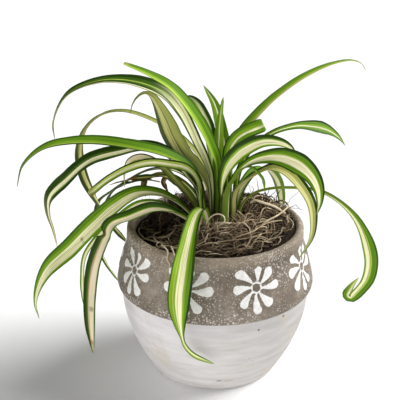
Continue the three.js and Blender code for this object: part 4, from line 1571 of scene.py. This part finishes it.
LEAVES = (
    Leaf(
        "leaf_tall_left", Slot.GREEN, azimuth=180, seat=(0, 0),
        path=(
            (0, 102, 0), (-1, 124, 0), (-1, 150.5, 2), (4, 168, 8.5), (12.5, 187, 14), (28, 208, 16),
            (43, 217, 14), (59, 223, 11),
        ),
        widths=(5, 7, 10, 11, 10, 7, 3),
        turns=(0, -20, -30, -30, -30),
        finish=LeafFinish(
            bands((Hue.DEEP, 0.1), (Hue.GREEN, 0.45), (Hue.BRIGHT, 0.7), (Hue.LIME, 0.86), (Hue.BRIGHT, 1)),
            tip=Hue.OLIVE_CREAM, tip_from=0.97,
        ),
        tip=Tip.CUT,
    ),
    Leaf(
        "leaf_high_arch_left", Slot.GREEN, azimuth=180, seat=(-3, -8),
        path=(
            (0, 102), (0, 121), (2, 147), (12, 171.5), (21, 190), (32, 203), (52, 210.5), (74, 210.5),
            (94, 201.5), (104, 184), (104, 172),
        ),
        widths=(5, 8, 11, 12, 12, 8, 7.5, 3),
        turns=(0, -20, -30, -20, 0),
        finish=LeafFinish(
            bands(
                (Hue.MARGIN, 0.12), (Hue.PALE, 0.28), (Hue.MOSS, 0.31), (Hue.PALE, 0.66), (Hue.DEEP, 0.74),
                (Hue.MARGIN, 1),
            ),
            later=bands(
                (Hue.MARGIN, 0.2), (Hue.DEEP, 0.4), (Hue.LIME, 0.46), (Hue.DEEP, 0.64), (Hue.MARGIN, 0.82),
                (Hue.CREAM, 0.93), (Hue.MOSS, 1),
            ),
            change=(0.46, 0.56), tip=Hue.MARGIN, tip_from=0.85,
        ),
    ),
    Leaf(
        "leaf_broad_pale_left", Slot.PALE, azimuth=180, seat=(-3, 6),
        path=(
            (0, 102, 0), (1, 122, -2), (4, 134, -5), (13, 145, -8.5), (20.5, 152, -10), (27.5, 164, -10),
            (33, 179, -9), (37, 189, -8), (41, 195.5, -8), (45, 197.5, -7), (50, 195, -6), (53.5, 190, -5),
            (55, 184, -4),
        ),
        widths=(5, 7, 10.5, 14.5, 16.5, 17, 16, 6, 1.5),
        turns=(0, 25, 60, 60, 40, 0),
        finish=LeafFinish(
            bands(
                (Hue.MARGIN, 0.31), (Hue.LIME, 0.33), (Hue.DEEP, 0.36), (Hue.OLIVE_CREAM, 0.62),
                (Hue.DEEP, 0.67), (Hue.OLIVE, 0.95), (Hue.MOSS, 1),
            ),
            tip=Hue.DEEP, tip_from=0.8, base_reach=0.0,
        ),
    ),
    Leaf(
        "leaf_thin_arch_back_left", Slot.PALE, azimuth=158, seat=(0, 15),
        path=(
            (0, 102), (2, 122), (10, 146), (26, 162.5), (49, 173), (71, 177), (88, 173), (102, 161),
            (109, 143), (107, 123), (97, 104), (84, 85), (71, 72),
        ),
        widths=(5, 6, 6, 6, 6, 7, 7.5, 6.5, 4),
        turns=(0, 0, 0, 0, 0, 10, 45, -20, 40),
        finish=LeafFinish(
            bands((Hue.MOSS, 0.16), (Hue.OLIVE, 0.45), (Hue.OLIVE_CREAM, 0.8), (Hue.MOSS, 1)),
            later=bands((Hue.MARGIN, 0.3), (Hue.OLIVE_CREAM, 0.62), (Hue.MOSS, 0.7), (Hue.MARGIN, 1)),
            change=(0.6, 0.68), tip=Hue.MARGIN,
        ),
        spots=(Spot(0.31, 0.0, 3.0, 0.5),),
    ),
    Leaf(
        "leaf_long_green_left", Slot.GREEN, azimuth=184, seat=(-6, 0),
        path=(
            (0, 102), (2, 123), (7, 141), (16, 152), (29, 159), (46, 164), (79, 169.5), (108, 166),
            (124, 153), (129, 138),
        ),
        widths=(5, 8, 12, 13, 12, 10, 7, 2),
        turns=(0, -10, -15, -15, -10),
        finish=LeafFinish(
            bands(
                (Hue.DEEP, 0.14), (Hue.GREEN, 0.42), (Hue.BRIGHT, 0.62), (Hue.LIME, 0.74), (Hue.GREEN, 0.85),
                (Hue.MARGIN, 1),
            ),
            tip=Hue.MARGIN, tip_from=0.88,
        ),
    ),
    Leaf(
        "leaf_dark_margins_left", Slot.STRIPED, azimuth=170, seat=(-9.5, 4.5),
        path=(
            (0, 102), (0, 118), (3, 130), (10, 139.5), (25, 155.5), (40, 159), (57, 155), (80, 147),
            (97.5, 132), (112, 117), (113.5, 104.5), (111, 92), (109, 77),
        ),
        widths=(5, 8, 12.5, 13, 13.5, 15.5, 15, 10.5, 2),
        turns=(0, -5, -20, -30, -40, -40),
        finish=LeafFinish(
            bands(
                (Hue.MARGIN, 0.26), (Hue.DEEP, 0.36), (Hue.CREAM, 0.62), (Hue.GREEN, 0.74),
                (Hue.MARGIN, 1),
            ),
            tip=Hue.OLIVE_CREAM, tip_from=0.8,
        ),
    ),
    Leaf(
        "leaf_cut_left", Slot.STRIPED, azimuth=188, seat=(-8, -10),
        path=((0, 102), (2, 124), (4, 141), (11, 151), (23, 155), (37, 157), (50, 154), (64, 147), (77, 137)),
        widths=(5, 7, 9, 9, 8, 8),
        turns=(0, -20, -20, -20),
        finish=LeafFinish(
            bands(
                (Hue.MARGIN, 0.14), (Hue.LIME, 0.3), (Hue.CREAM, 0.52), (Hue.LIME, 0.72), (Hue.GREEN, 0.9),
                (Hue.MARGIN, 1),
            ),
            tip=Hue.OLIVE,
        ),
        tip=Tip.CUT,
        spots=(Spot(1.0, 0.4, 3.5),),
    ),
    Leaf(
        "leaf_olive_left", Slot.GREEN, azimuth=166, seat=(-12.5, 4),
        path=(
            (0, 102), (1, 116), (6, 124.5), (16, 136), (30, 149), (41, 151.5), (49.5, 147.5), (53, 139),
            (53.5, 128),
        ),
        widths=(5, 6, 6.5, 5.5, 5, 5.5, 4.5, 2),
        turns=(0, -15, -40, -45, -30),
        finish=LeafFinish(
            bands((Hue.MOSS, 0.2), (Hue.OLIVE, 0.8), (Hue.MOSS, 1)),
            later=bands((Hue.MARGIN, 0.16), (Hue.TAN, 0.8), (Hue.OLIVE, 1)),
            change=(0.5, 0.7), tip=Hue.MOSS,
        ),
    ),
    Leaf(
        "leaf_thin_back_left", Slot.GREEN, azimuth=146, seat=(-11, 9.5),
        path=(
            (0, 102), (1, 119), (6, 133), (22, 139), (44, 135), (64, 123), (80, 111), (94, 99), (99, 82),
            (99, 62), (91, 46), (78, 33),
        ),
        widths=(4, 5, 5, 5, 5, 6, 6, 4, 2),
        finish=LeafFinish(bands((Hue.MARGIN, 0.3), (Hue.CREAM, 0.52), (Hue.GREEN, 0.7), (Hue.MARGIN, 1))),
        spots=(Spot(0.16, 0.3, 3.0), Spot(0.26, 0.0, 2.5, 0.7)),
    ),
    Leaf(
        "leaf_low_back_left", Slot.GREEN, azimuth=142, seat=(-7, 13.5),
        path=((0, 102), (4, 114), (14, 125), (30, 131), (45, 130), (57, 124)),
        widths=(4, 5, 5, 4, 2),
        finish=LeafFinish(bands((Hue.MARGIN, 0.4), (Hue.OLIVE, 0.6), (Hue.MARGIN, 1)), tip=Hue.DRY),
        spots=(Spot(0.5, 0.2, 3.5), Spot(0.8, -0.2, 3.0)),
    ),
    Leaf(
        "leaf_front_left_wide", Slot.STRIPED, azimuth=197, seat=(-15, 1),
        path=(
            (0, 102), (1, 111), (6, 118.5), (15, 126.5), (27, 132), (41, 133), (55, 126), (71.5, 113),
            (86.7, 99.3), (103.5, 85.5), (111, 72), (113.5, 60.5), (112, 49.5),
        ),
        widths=(5, 8, 12, 15, 16.5, 16.5, 14, 7, 2),
        turns=(0, -10, -25, -30, -20),
        finish=LeafFinish(
            bands(
                (Hue.DEEP, 0.08), (Hue.GREEN, 0.22), (Hue.BRIGHT, 0.32), (Hue.CREAM, 0.5), (Hue.LIME, 0.52),
                (Hue.CREAM, 0.8), (Hue.BRIGHT, 0.9), (Hue.GREEN, 1),
            ),
            tip=Hue.MOSS,
        ),
        spots=(Spot(0.6, 0.1, 1.6), Spot(0.6, 0.5, 1.2, 0.7), Spot(1.0, 0.0, 2.5)),
    ),
    Leaf(
        "leaf_front_left_under", Slot.GREEN, azimuth=205.5, seat=(-15, -4),
        path=(
            (0, 102), (1, 109), (7, 116.5), (17, 124), (29, 129.5), (41, 130), (55, 123), (69, 113),
            (79, 101), (82, 84), (82, 69), (80, 57),
        ),
        widths=(4, 5, 6.5, 7, 6, 5, 4.5, 2),
        turns=(0, -10, -10, -30),
        finish=LeafFinish(bands((Hue.GREEN, 0.28), (Hue.CREAM, 0.72), (Hue.BRIGHT, 1))),
    ),
    Leaf(
        "leaf_kinked_left", Slot.STRIPED, azimuth=212, seat=(-12, -10.5),
        path=(
            (0, 102), (2, 111), (10, 118), (22, 126), (36, 130), (52, 128), (65, 126), (70, 118), (78, 102),
            (82.5, 81), (84, 59), (83, 36),
        ),
        widths=(5, 8, 12, 12, 12, 11, 9, 7, 2),
        turns=(0, -10, -10, -40, -50),
        finish=LeafFinish(
            bands((Hue.MARGIN, 0.16), (Hue.DEEP, 0.32), (Hue.BRIGHT, 0.36), (Hue.TAN, 0.8), (Hue.GREEN, 1)),
            later=bands(
                (Hue.MARGIN, 0.2), (Hue.DEEP, 0.32), (Hue.STRAW, 0.4), (Hue.TAN, 0.86), (Hue.DEEP, 1)
            ),
            change=(0.48, 0.54), tip=Hue.MOSS,
        ),
        spots=(Spot(0.5, -0.5, 2.6), Spot(0.8, 0.3, 2.2, 0.8), Spot(0.95, 0.0, 2.5, 0.6)),
        pinches=(Pinch(0.5, -1, 0.75, 3.5),),
    ),
    Leaf(
        "leaf_front", Slot.STRIPED, azimuth=270, seat=(-5, -14.5),
        path=(
            (0, 102, 0), (1, 115, -0.5), (5, 126, -3), (20.5, 129, -8), (37.5, 125.5, -11.5),
            (51.5, 115.5, -14.5), (61.4, 107.5, -16.5), (66.9, 93.5, -18.5), (66.4, 78, -18.5),
            (64.2, 64, -17), (61.5, 55.5, -15), (59.5, 47.5, -9.5), (57, 39, 3.5),
        ),
        widths=(6, 6, 6.5, 7.5, 8.5, 9, 10.5, 12.5, 14, 14.5, 12.5, 7.5, 2.8, 3.2, 4, 1.5),
        finish=LeafFinish(
            bands(
                (Hue.DEEP, 0.07), (Hue.BRIGHT, 0.2), (Hue.LIME, 0.25), (Hue.BRIGHT, 0.34), (Hue.CREAM, 0.4),
                (Hue.LIME, 0.43), (Hue.CREAM, 0.64), (Hue.BRIGHT, 0.76), (Hue.GREEN, 0.88), (Hue.MARGIN, 1),
            ),
        ),
        ripple=0.1,
    ),
    Leaf(
        "leaf_upright_back", Slot.GREEN, azimuth=165, seat=(9, 12),
        path=((0, 102, 0), (0, 128, 0), (2.5, 155, -1), (7, 176, -2), (11, 189, -3), (19, 201, -4)),
        widths=(4, 6, 8, 9, 7, 2),
        turns=(0, -40, -60),
        finish=LeafFinish(bands((Hue.GREEN, 0.42), (Hue.CREAM, 0.56), (Hue.BRIGHT, 0.85), (Hue.GREEN, 1))),
    ),
    Leaf(
        "leaf_upright_centre", Slot.GREEN, azimuth=90, seat=(3, 8),
        path=((0, 102, 0), (0, 128, 1), (1, 158, 1), (3, 181, 0), (4, 195, -2)),
        widths=(4, 7, 8, 6, 1.5),
        finish=LeafFinish(bands((Hue.BRIGHT, 0.44), (Hue.CREAM, 0.54), (Hue.BRIGHT, 0.7), (Hue.GREEN, 1))),
    ),
    Leaf(
        "leaf_wavy_back", Slot.STRIPED, azimuth=180, seat=(4, 12.5),
        path=(
            (0, 102, 0), (1, 118, -0.6), (3, 131, -1.5), (5.5, 149, -3), (7.5, 161, -4.5), (8.5, 172, -6),
            (12, 180.5, -8), (16.5, 188, -10.5), (22, 191.5, -12.5), (28, 190, -13.5),
        ),
        widths=(4, 6, 8, 9, 9, 8, 6, 2),
        turns=(0, -30, -60, -60),
        finish=LeafFinish(
            bands((Hue.MARGIN, 0.3), (Hue.GREEN, 0.36), (Hue.PALE, 0.66), (Hue.BRIGHT, 0.86), (Hue.MOSS, 1)),
            tip=Hue.MARGIN, tip_from=0.8,
        ),
        ripple=1.2,
    ),
    Leaf(
        "leaf_cut_right", Slot.STRIPED, azimuth=14, seat=(8, -1.5),
        path=((0, 102), (0, 131), (0, 150), (2, 164), (8, 171.5), (25, 178)),
        widths=(5, 5, 7, 9, 9.8),
        turns=(0, 15, 60, 60),
        finish=LeafFinish(
            bands(
                (Hue.MARGIN, 0.1), (Hue.GREEN, 0.34), (Hue.CREAM, 0.5), (Hue.BRIGHT, 0.72), (Hue.GREEN, 0.9),
                (Hue.MARGIN, 1),
            ),
        ),
        tip=Tip.CUT,
    ),
    Leaf(
        "leaf_long_right", Slot.GREEN, azimuth=27, seat=(12, 6),
        path=(
            (0, 102), (-2, 131), (-1.5, 153), (6, 170), (21, 185), (37, 196), (58, 206), (79, 211.5),
            (95, 212.2), (104.5, 209), (109, 203.5),
        ),
        widths=(5, 6, 7, 7, 6, 5, 3, 1.5),
        turns=(0, 20, 20, 20),
        finish=LeafFinish(
            bands(
                (Hue.OLIVE_CREAM, 0.24), (Hue.LIME, 0.36), (Hue.BRIGHT, 0.6), (Hue.GREEN, 0.9),
                (Hue.DEEP, 1),
            ),
            tip=Hue.DRY_GREY, tip_from=0.9,
        ),
    ),
    Leaf(
        "leaf_right_mid", Slot.STRIPED, azimuth=25, seat=(14.5, 6.5),
        path=(
            (0, 102), (0, 124), (3, 145), (11, 158), (27, 167.5), (46, 170.5), (60, 168.5), (74, 164),
            (84, 157), (90, 150),
        ),
        widths=(4, 5, 5.5, 5, 4.2, 4.6, 6, 10, 11, 1.5),
        turns=(0, 20, 30, 45, 50),
        finish=LeafFinish(
            bands(
                (Hue.DEEP, 0.2), (Hue.GREEN, 0.42), (Hue.CREAM, 0.54), (Hue.BRIGHT, 0.66), (Hue.GREEN, 0.85),
                (Hue.MARGIN, 1),
            ),
            tip=Hue.DEEP,
        ),
    ),
    Leaf(
        "leaf_right_upper", Slot.STRIPED, azimuth=-12, seat=(5.5, -10),
        path=(
            (0, 102), (-1, 122), (-1, 141), (3, 154), (12, 165), (26, 172.5), (38, 172.3), (44.5, 168.8),
            (47.5, 164),
        ),
        widths=(5, 6, 7, 9, 11.5, 12, 9.5, 6, 1.5),
        turns=(0, 10, 45, 55, 50, 45),
        finish=LeafFinish(
            bands(
                (Hue.GREEN, 0.14), (Hue.LIME, 0.2), (Hue.CREAM, 0.62), (Hue.BRIGHT, 0.72), (Hue.DEEP, 0.82),
                (Hue.MARGIN, 1),
            ),
            tip=Hue.DEEP,
        ),
    ),
    Leaf(
        "leaf_right_broad", Slot.STRIPED, azimuth=-40, seat=(9, -11),
        path=(
            (0, 102), (-1, 123), (0, 137), (5, 148), (14, 158), (27, 165.5), (42, 169), (55, 167), (64, 162),
            (69, 155), (70.5, 146), (69, 137),
        ),
        widths=(5, 5.5, 6, 6.5, 7.5, 9.8, 13, 13.8, 8, 1.5),
        turns=(0, 20, 40, 50, 50, 40, 20),
        finish=LeafFinish(
            bands(
                (Hue.MARGIN, 0.07), (Hue.GREEN, 0.25), (Hue.CREAM, 0.62), (Hue.BRIGHT, 0.7),
                (Hue.GREEN, 0.86), (Hue.MARGIN, 1),
            ),
            tip=Hue.DEEP,
        ),
    ),
    Leaf(
        "leaf_right_hanging", Slot.PALE, azimuth=-40, seat=(14, -5),
        path=(
            (0, 102), (-1, 117), (0, 132), (6, 141), (18, 151), (29, 157), (40, 157), (50, 151), (59, 141),
            (62, 129), (61, 116), (53, 99),
        ),
        widths=(4, 6, 9, 9, 9, 8, 6, 2),
        turns=(0, 10, 20, 10, 5),
        finish=LeafFinish(
            bands((Hue.MOSS, 0.12), (Hue.OLIVE_CREAM, 0.5), (Hue.OLIVE, 0.8), (Hue.MARGIN, 1)), tip_from=0.85
        ),
    ),
    Leaf(
        "leaf_right_drooping", Slot.STRIPED, azimuth=-15, seat=(17, 1),
        path=(
            (0, 102), (0, 111), (2, 122), (9, 130), (21, 135), (35, 137), (55, 136.5), (69.5, 129.3),
            (81, 118), (89.4, 101), (92.2, 88), (90.8, 75), (84.5, 63.5), (80.5, 58.5), (78, 60.5),
            (80.5, 68), (85, 75.5),
        ),
        widths=(4, 3.5, 3.5, 3.5, 3.5, 3.5, 4, 6, 9.5, 10.5, 10.5, 9.5, 1.5),
        turns=(0, 0, 20, 60, 60, 60),
        finish=LeafFinish(
            bands((Hue.MOSS, 0.3), (Hue.LIME, 0.5), (Hue.MOSS, 1)),
            later=bands(
                (Hue.GREEN, 0.1), (Hue.LIME, 0.16), (Hue.CREAM, 0.46), (Hue.MOSS, 0.49), (Hue.LIME, 0.58),
                (Hue.GREEN, 0.86), (Hue.DEEP, 1),
            ),
            change=(0.42, 0.56), tip=Hue.LIME,
        ),
    ),
    Leaf(
        "leaf_thin_curl_right", Slot.GREEN, azimuth=-50, seat=(7, -15.5),
        path=((0, 102), (0, 125), (2, 139), (9, 150), (17, 159), (24, 161), (29, 159), (34, 156), (36, 149)),
        widths=(4, 5, 5, 4, 3, 2),
        finish=LeafFinish(bands((Hue.MOSS, 0.3), (Hue.GREEN, 0.7), (Hue.DEEP, 1))),
    ),
    Leaf(
        "leaf_back_right", Slot.STRIPED, azimuth=60, seat=(13.5, 10),
        path=((0, 102), (3, 116), (14, 127), (32, 132), (54, 127), (72, 113), (82, 94), (84, 72)),
        widths=(4, 7, 10, 10, 8, 2),
        finish=LeafFinish(bands((Hue.GREEN, 0.28), (Hue.CREAM, 0.66), (Hue.GREEN, 0.88), (Hue.DEEP, 1))),
    ),
    Leaf(
        "leaf_back", Slot.STRIPED, azimuth=100, seat=(6, 16.5),
        path=((0, 102), (2, 114), (12, 124), (30, 128), (52, 122), (70, 108), (78.9, 88), (79.8, 64)),
        widths=(4, 7, 10, 10, 8, 2),
        finish=LeafFinish(bands((Hue.DEEP, 0.24), (Hue.CREAM, 0.7), (Hue.GREEN, 1))),
    ),
)

DEAD_LEAVES = (
    Leaf(
        "withered_leaf_long", Slot.GREEN, azimuth=174, seat=(-14, 25),
        path=(
            (0, 108), (5, 121, -1), (14, 129, 1), (24, 132.5, 0), (34, 131.5, 1), (44, 129.5, -1),
            (54, 128, 2), (64, 124, 0),
        ),
        widths=(2, 4, 6, 5, 6, 4, 3, 1),
        turns=(0, 50, -60, 20, -70, 30, 0),
        finish=LeafFinish(
            bands((Hue.MARGIN, 0.35), (Hue.OLIVE, 0.5), (Hue.DRY, 0.7), (Hue.MARGIN, 1)),
            tip=Hue.DRY, tip_from=0.7,
        ),
        ripple=3.0,
        spots=(Spot(0.5, 0.3, 4.0), Spot(0.75, -0.3, 3.5)),
    ),
    Leaf(
        "withered_leaf_drop", Slot.GREEN, azimuth=178, seat=(-46, 29),
        path=((0, 129), (2, 130), (5, 127), (6, 122, 2), (4, 117, 3)),
        widths=(2, 5, 6, 4, 1),
        turns=(0, 60, 120, 160),
        finish=LeafFinish(bands((Hue.MARGIN, 0.4), (Hue.DRY, 1)), tip=Hue.DRY),
        ripple=3.0,
        spots=(Spot(0.7, 0.0, 4.0),),
    ),
    Leaf(
        "withered_leaf_short", Slot.GREEN, azimuth=150, seat=(-30, 27),
        path=((0, 130), (4, 131), (8, 127), (8, 122, -2), (6, 118, -3)),
        widths=(2, 5, 5, 4, 1),
        turns=(0, -50, -120, -90),
        finish=LeafFinish(bands((Hue.DRY, 0.4), (Hue.STRAW, 0.6), (Hue.DRY, 1)), tip=Hue.DRY),
        ripple=3.0,
        spots=(Spot(0.4, 0.0, 3.0, 0.6),),
    ),
    Leaf(
        "withered_leaf_strand", Slot.GREEN, azimuth=172, seat=(-40, 33),
        path=((0, 126), (10, 127.5, 1), (22, 125, 2), (32, 120, 0), (39, 112, -1), (43, 104, 1), (44, 97, 0)),
        widths=(1.5, 2.5, 3, 2.5, 2, 1),
        turns=(0, 60, -40, 50, 20),
        finish=LeafFinish(
            bands((Hue.MARGIN, 0.4), (Hue.DRY_GREY, 0.6), (Hue.MARGIN, 1)), tip=Hue.DRY, tip_from=0.8
        ),
        ripple=2.0,
    ),
)

HOOKED_ROOTS = (
    HookedRoot(
        (
            (-34, -37, 107), (-35.5, -43, 111), (-33.5, -48, 111.8), (-31.2, -52.6, 110.6),
            (-31.6, -55, 106.5), (-29.9, -56.6, 103), (-31.4, -56.8, 100), (-32.6, -56.6, 98.6),
        ),
        0.5,
    ),
    HookedRoot(
        (
            (-28, -41, 107.5), (-29.4, -47, 111.8), (-28, -52.4, 111.5), (-26.6, -56.3, 107.5),
            (-27.4, -58.2, 103.5), (-26.6, -58.6, 102),
        ),
        0.42,
    ),
)

LAID_ROOTS = (
    LaidRoot(
        ((41, 42, -1), (50, 33, 2.4), (53, 18, 3.6), (50, 4, 3.6), (43, -9, 3), (34, -16, 2), (25, -21, -1)),
        0.62, 0.86,
    ),
    LaidRoot(((22, 8, -1), (27, 5, 3), (33, 0, 3.6), (42, -1, 3.2), (49, 1, 1.6), (52, 5, -1)), 0.8, 0.98),
    LaidRoot(((26, 5, 2), (29, 14, 3), (36, 20, 2.6), (44, 19, 1.4), (48, 14, -1)), 0.45, 0.8),
    LaidRoot(
        (
            (-7, -15, 1), (-5, -17, 5), (0, -18, 7.6), (5, -18, 7), (6, -19, 5), (2, -20, 3.6), (-5, -20, 2),
            (-9, -21, -1),
        ),
        0.5, 0.95,
    ),
    LaidRoot(((-2, -13, 1), (5, -16, 3.2), (12, -17, 3), (18, -15, 1), (22, -14, -1)), 0.85, 1.0),
    LaidRoot(((0, -16, 1), (6, -20, 2.6), (14, -21, 2), (19, -21, -1)), 0.6, 0.98),
    LaidRoot(
        (
            (-50, 4, -1), (-53, -6, 2), (-52, -16, 2.8), (-48, -24, 2.6), (-40, -29, 2.2), (-30, -31, 1.2),
            (-22, -34, -1),
        ),
        0.46, 0.8,
    ),
    LaidRoot(
        ((-28, 2, -1), (-27, -9, 2.6), (-29, -18, 2.8), (-35, -24, 2.4), (-42, -20, 1.6), (-44, -12, -1)),
        0.42, 0.8,
    ),
    LaidRoot(
        ((-40, -6, -1), (-38, -14, 2), (-42, -20, 2.6), (-40, -28, 2.4), (-32, -33, 1.8), (-26, -30, -1)),
        0.38, 0.85,
    ),
    LaidRoot(((-46, -30, -1), (-40, -36, 2), (-34, -36, 2.4), (-28, -41, 2.2), (-20, -42, -1)), 0.42, 0.88),
    LaidRoot(
        ((-12, -30, -1), (-2, -26, 2.4), (10, -23, 2.8), (20, -16, 2.6), (28, -13, 1.4), (36, -14, -1)),
        0.4, 0.78,
    ),
    LaidRoot(
        ((-24, -38, -1), (-10, -42, 2.4), (6, -40, 3.2), (20, -36, 2.8), (34, -27, 2), (42, -20, -1)),
        0.36, 0.74,
    ),
    LaidRoot(((12, -50, -1), (20, -44, 2.6), (24, -36, 3.2), (32, -34, 2.4), (40, -36, -1)), 0.4, 0.76),
    LaidRoot(
        ((8, -30, -1), (14, -34, 2.8), (24, -30, 3.4), (34, -20, 3), (44, -12, 2), (50, -2, -1)),
        0.4, 0.82,
    ),
    LaidRoot(((-14, -22, -1), (-6, -30, 2.6), (-8, -38, 2.8), (-16, -44, 1.6), (-14, -50, -1)), 0.34, 0.8),
)

MARKS = (
    Mark((27.7, -60.7, 57.9), 0.9, 0.9),
    Mark((44.8, -49.8, 62.0), 1.0, 0.9),
    Mark((2.3, -53.1, 12.9), 2.2, 0.55, 0.95),
    Mark((8.7, -52.3, 12.3), 4.0, 0.9, 0.3),
    Mark((22.0, -57.5, 34.5), 0.8, 0.8, 0.45),
    Mark((24.5, -56.0, 31.0), 0.6, 0.7, 0.4),
    Mark((19.0, -60.2, 40.0), 0.7, 1.1, 0.35),
)

ROOT_KINDS = (
    Wander(
        count=520, length=(16, 40), radius=(0.18, 0.34), level=(-0.6, 0.6), tone=(0.0, 0.36), curl=0.14,
        kinks=0.14, follow=0.08, bare_share=0.12,
    ),
    Wander(
        count=520, length=(18, 46), radius=(0.17, 0.34), level=(0.4, 3.0), tone=(0.05, 0.75), curl=0.13,
        kinks=0.14, follow=0.1, wobble=1.4, bare_share=0.02,
    ),
    Wander(
        count=120, length=(22, 60), radius=(0.2, 0.42), level=(1.8, 3.8), tone=(0.5, 1.0), curl=0.12,
        kinks=0.1, follow=0.14, wobble=1.7, bare_share=0.0,
    ),
    Wander(
        count=52, length=(14, 40), radius=(0.22, 0.42), level=(0.6, 2.8), tone=(0.3, 0.95), curl=0.26,
        follow=0.05, wobble=1.2, mat_share=0.0, bare_share=1.0,
    ),
)

HEAPS = (
    Heap(count=170, azimuth=(98, 166), radius=(26, 49), peak=(3, 13), tone=(0.02, 0.42)),
    Heap(count=80, azimuth=(12, 70), radius=(24, 49), peak=(3, 8), tone=(0.02, 0.5)),
    Heap(count=90, azimuth=(-140, -20), radius=(18, 26), peak=(4, 9), tone=(0.25, 0.95)),
)


@dataclass(frozen=True)
class Lamp:
    """A wide soft light from far off.

    It stands at an azimuth, in degrees from +X towards +Y, and an elevation. The strength is what a surface
    that faces it gets, and the spread is how wide it looks from the plant, in degrees.
    """

    name: str
    azimuth: float
    elevation: float
    strength: float
    spread: float

    def build(self) -> None:
        """Adds the lamp to the scene."""
        data = bpy.data.lights.new(self.name, "SUN")
        data.angle = math.radians(self.spread)
        data.energy = self.strength
        lamp = bpy.data.objects.new(self.name, data)
        rise = math.radians(self.elevation)
        towards = Vector((*polar(math.cos(rise), math.radians(self.azimuth)), math.sin(rise)))
        lamp.location = towards * 2
        lamp.rotation_euler = (-towards).to_track_quat("-Z", "Y").to_euler()
        bpy.context.scene.collection.objects.link(lamp)


@dataclass
class Studio:
    """A pale floor, soft light and the camera at the photograph's viewing angle."""

    camera_place: Place = (-10.7, -501.6, 327.7)
    pitch: float = 22.0
    lens: float = 70.2
    sensor: float = 36.0
    floor_size: float = 300.0
    floor_colour: tuple[float, ...] = (0.96, 0.96, 0.96, 1)
    world_strength: float = 0.12
    lamps: tuple[Lamp, ...] = (Lamp("key", 18.0, 36.0, 4.75, 44.0), Lamp("front", -122.0, 5.0, 2.9, 60.0))

    def camera(self) -> None:
        """Adds the camera and makes it the scene's."""
        data = bpy.data.cameras.new("camera")
        data.lens = self.lens
        data.sensor_width = self.sensor
        data.clip_start = 0.01
        view = bpy.data.objects.new("camera", data)
        view.location = Vector(self.camera_place) * MM
        view.rotation_euler = (math.radians(90 - self.pitch), 0, 0)
        bpy.context.scene.collection.objects.link(view)
        bpy.context.scene.camera = view

    def floor(self) -> None:
        """Adds the plain pale floor."""
        half = self.floor_size / 2
        corners = [(-half, -half, 0), (half, -half, 0), (half, half, 0), (-half, half, 0)]
        mesh = make_mesh("floor", corners, [(0, 1, 2, 3)], soft=False)
        mesh.materials.append(Wiring("floor_finish").finish(self.floor_colour, 0.9, 0.1))
        floor = bpy.data.objects.new("floor", mesh)
        bpy.context.scene.collection.objects.link(floor)

    def build(self) -> None:
        """Builds the floor, the lights and the camera."""
        self.floor()
        world = bpy.data.worlds.new("studio")
        world.use_nodes = True
        back = world.node_tree.nodes["Background"]
        back.inputs[0].default_value = (1, 1, 1, 1)
        back.inputs[1].default_value = self.world_strength
        bpy.context.scene.world = world
        for lamp in self.lamps:
            lamp.build()
        bpy.context.scene.view_settings.view_transform = "Standard"
        self.camera()


def main() -> None:
    """Builds the plant piece by piece, then the studio."""
    logging.basicConfig(level=logging.INFO, format="%(name)s %(message)s")
    Pot(DaisyBand(), MARKS).build()
    Soil(EarthFinish("soil_finish", ((13, 9, 6), (30, 21, 15), (60, 46, 34)))).build()
    RootTangle(ROOT_KINDS, HEAPS, LAID_ROOTS, HOOKED_ROOTS).build()
    Crown().build()
    Foliage(LEAVES, DEAD_LEAVES).build()
    Studio().build()


if __name__ == "__main__":
    main()
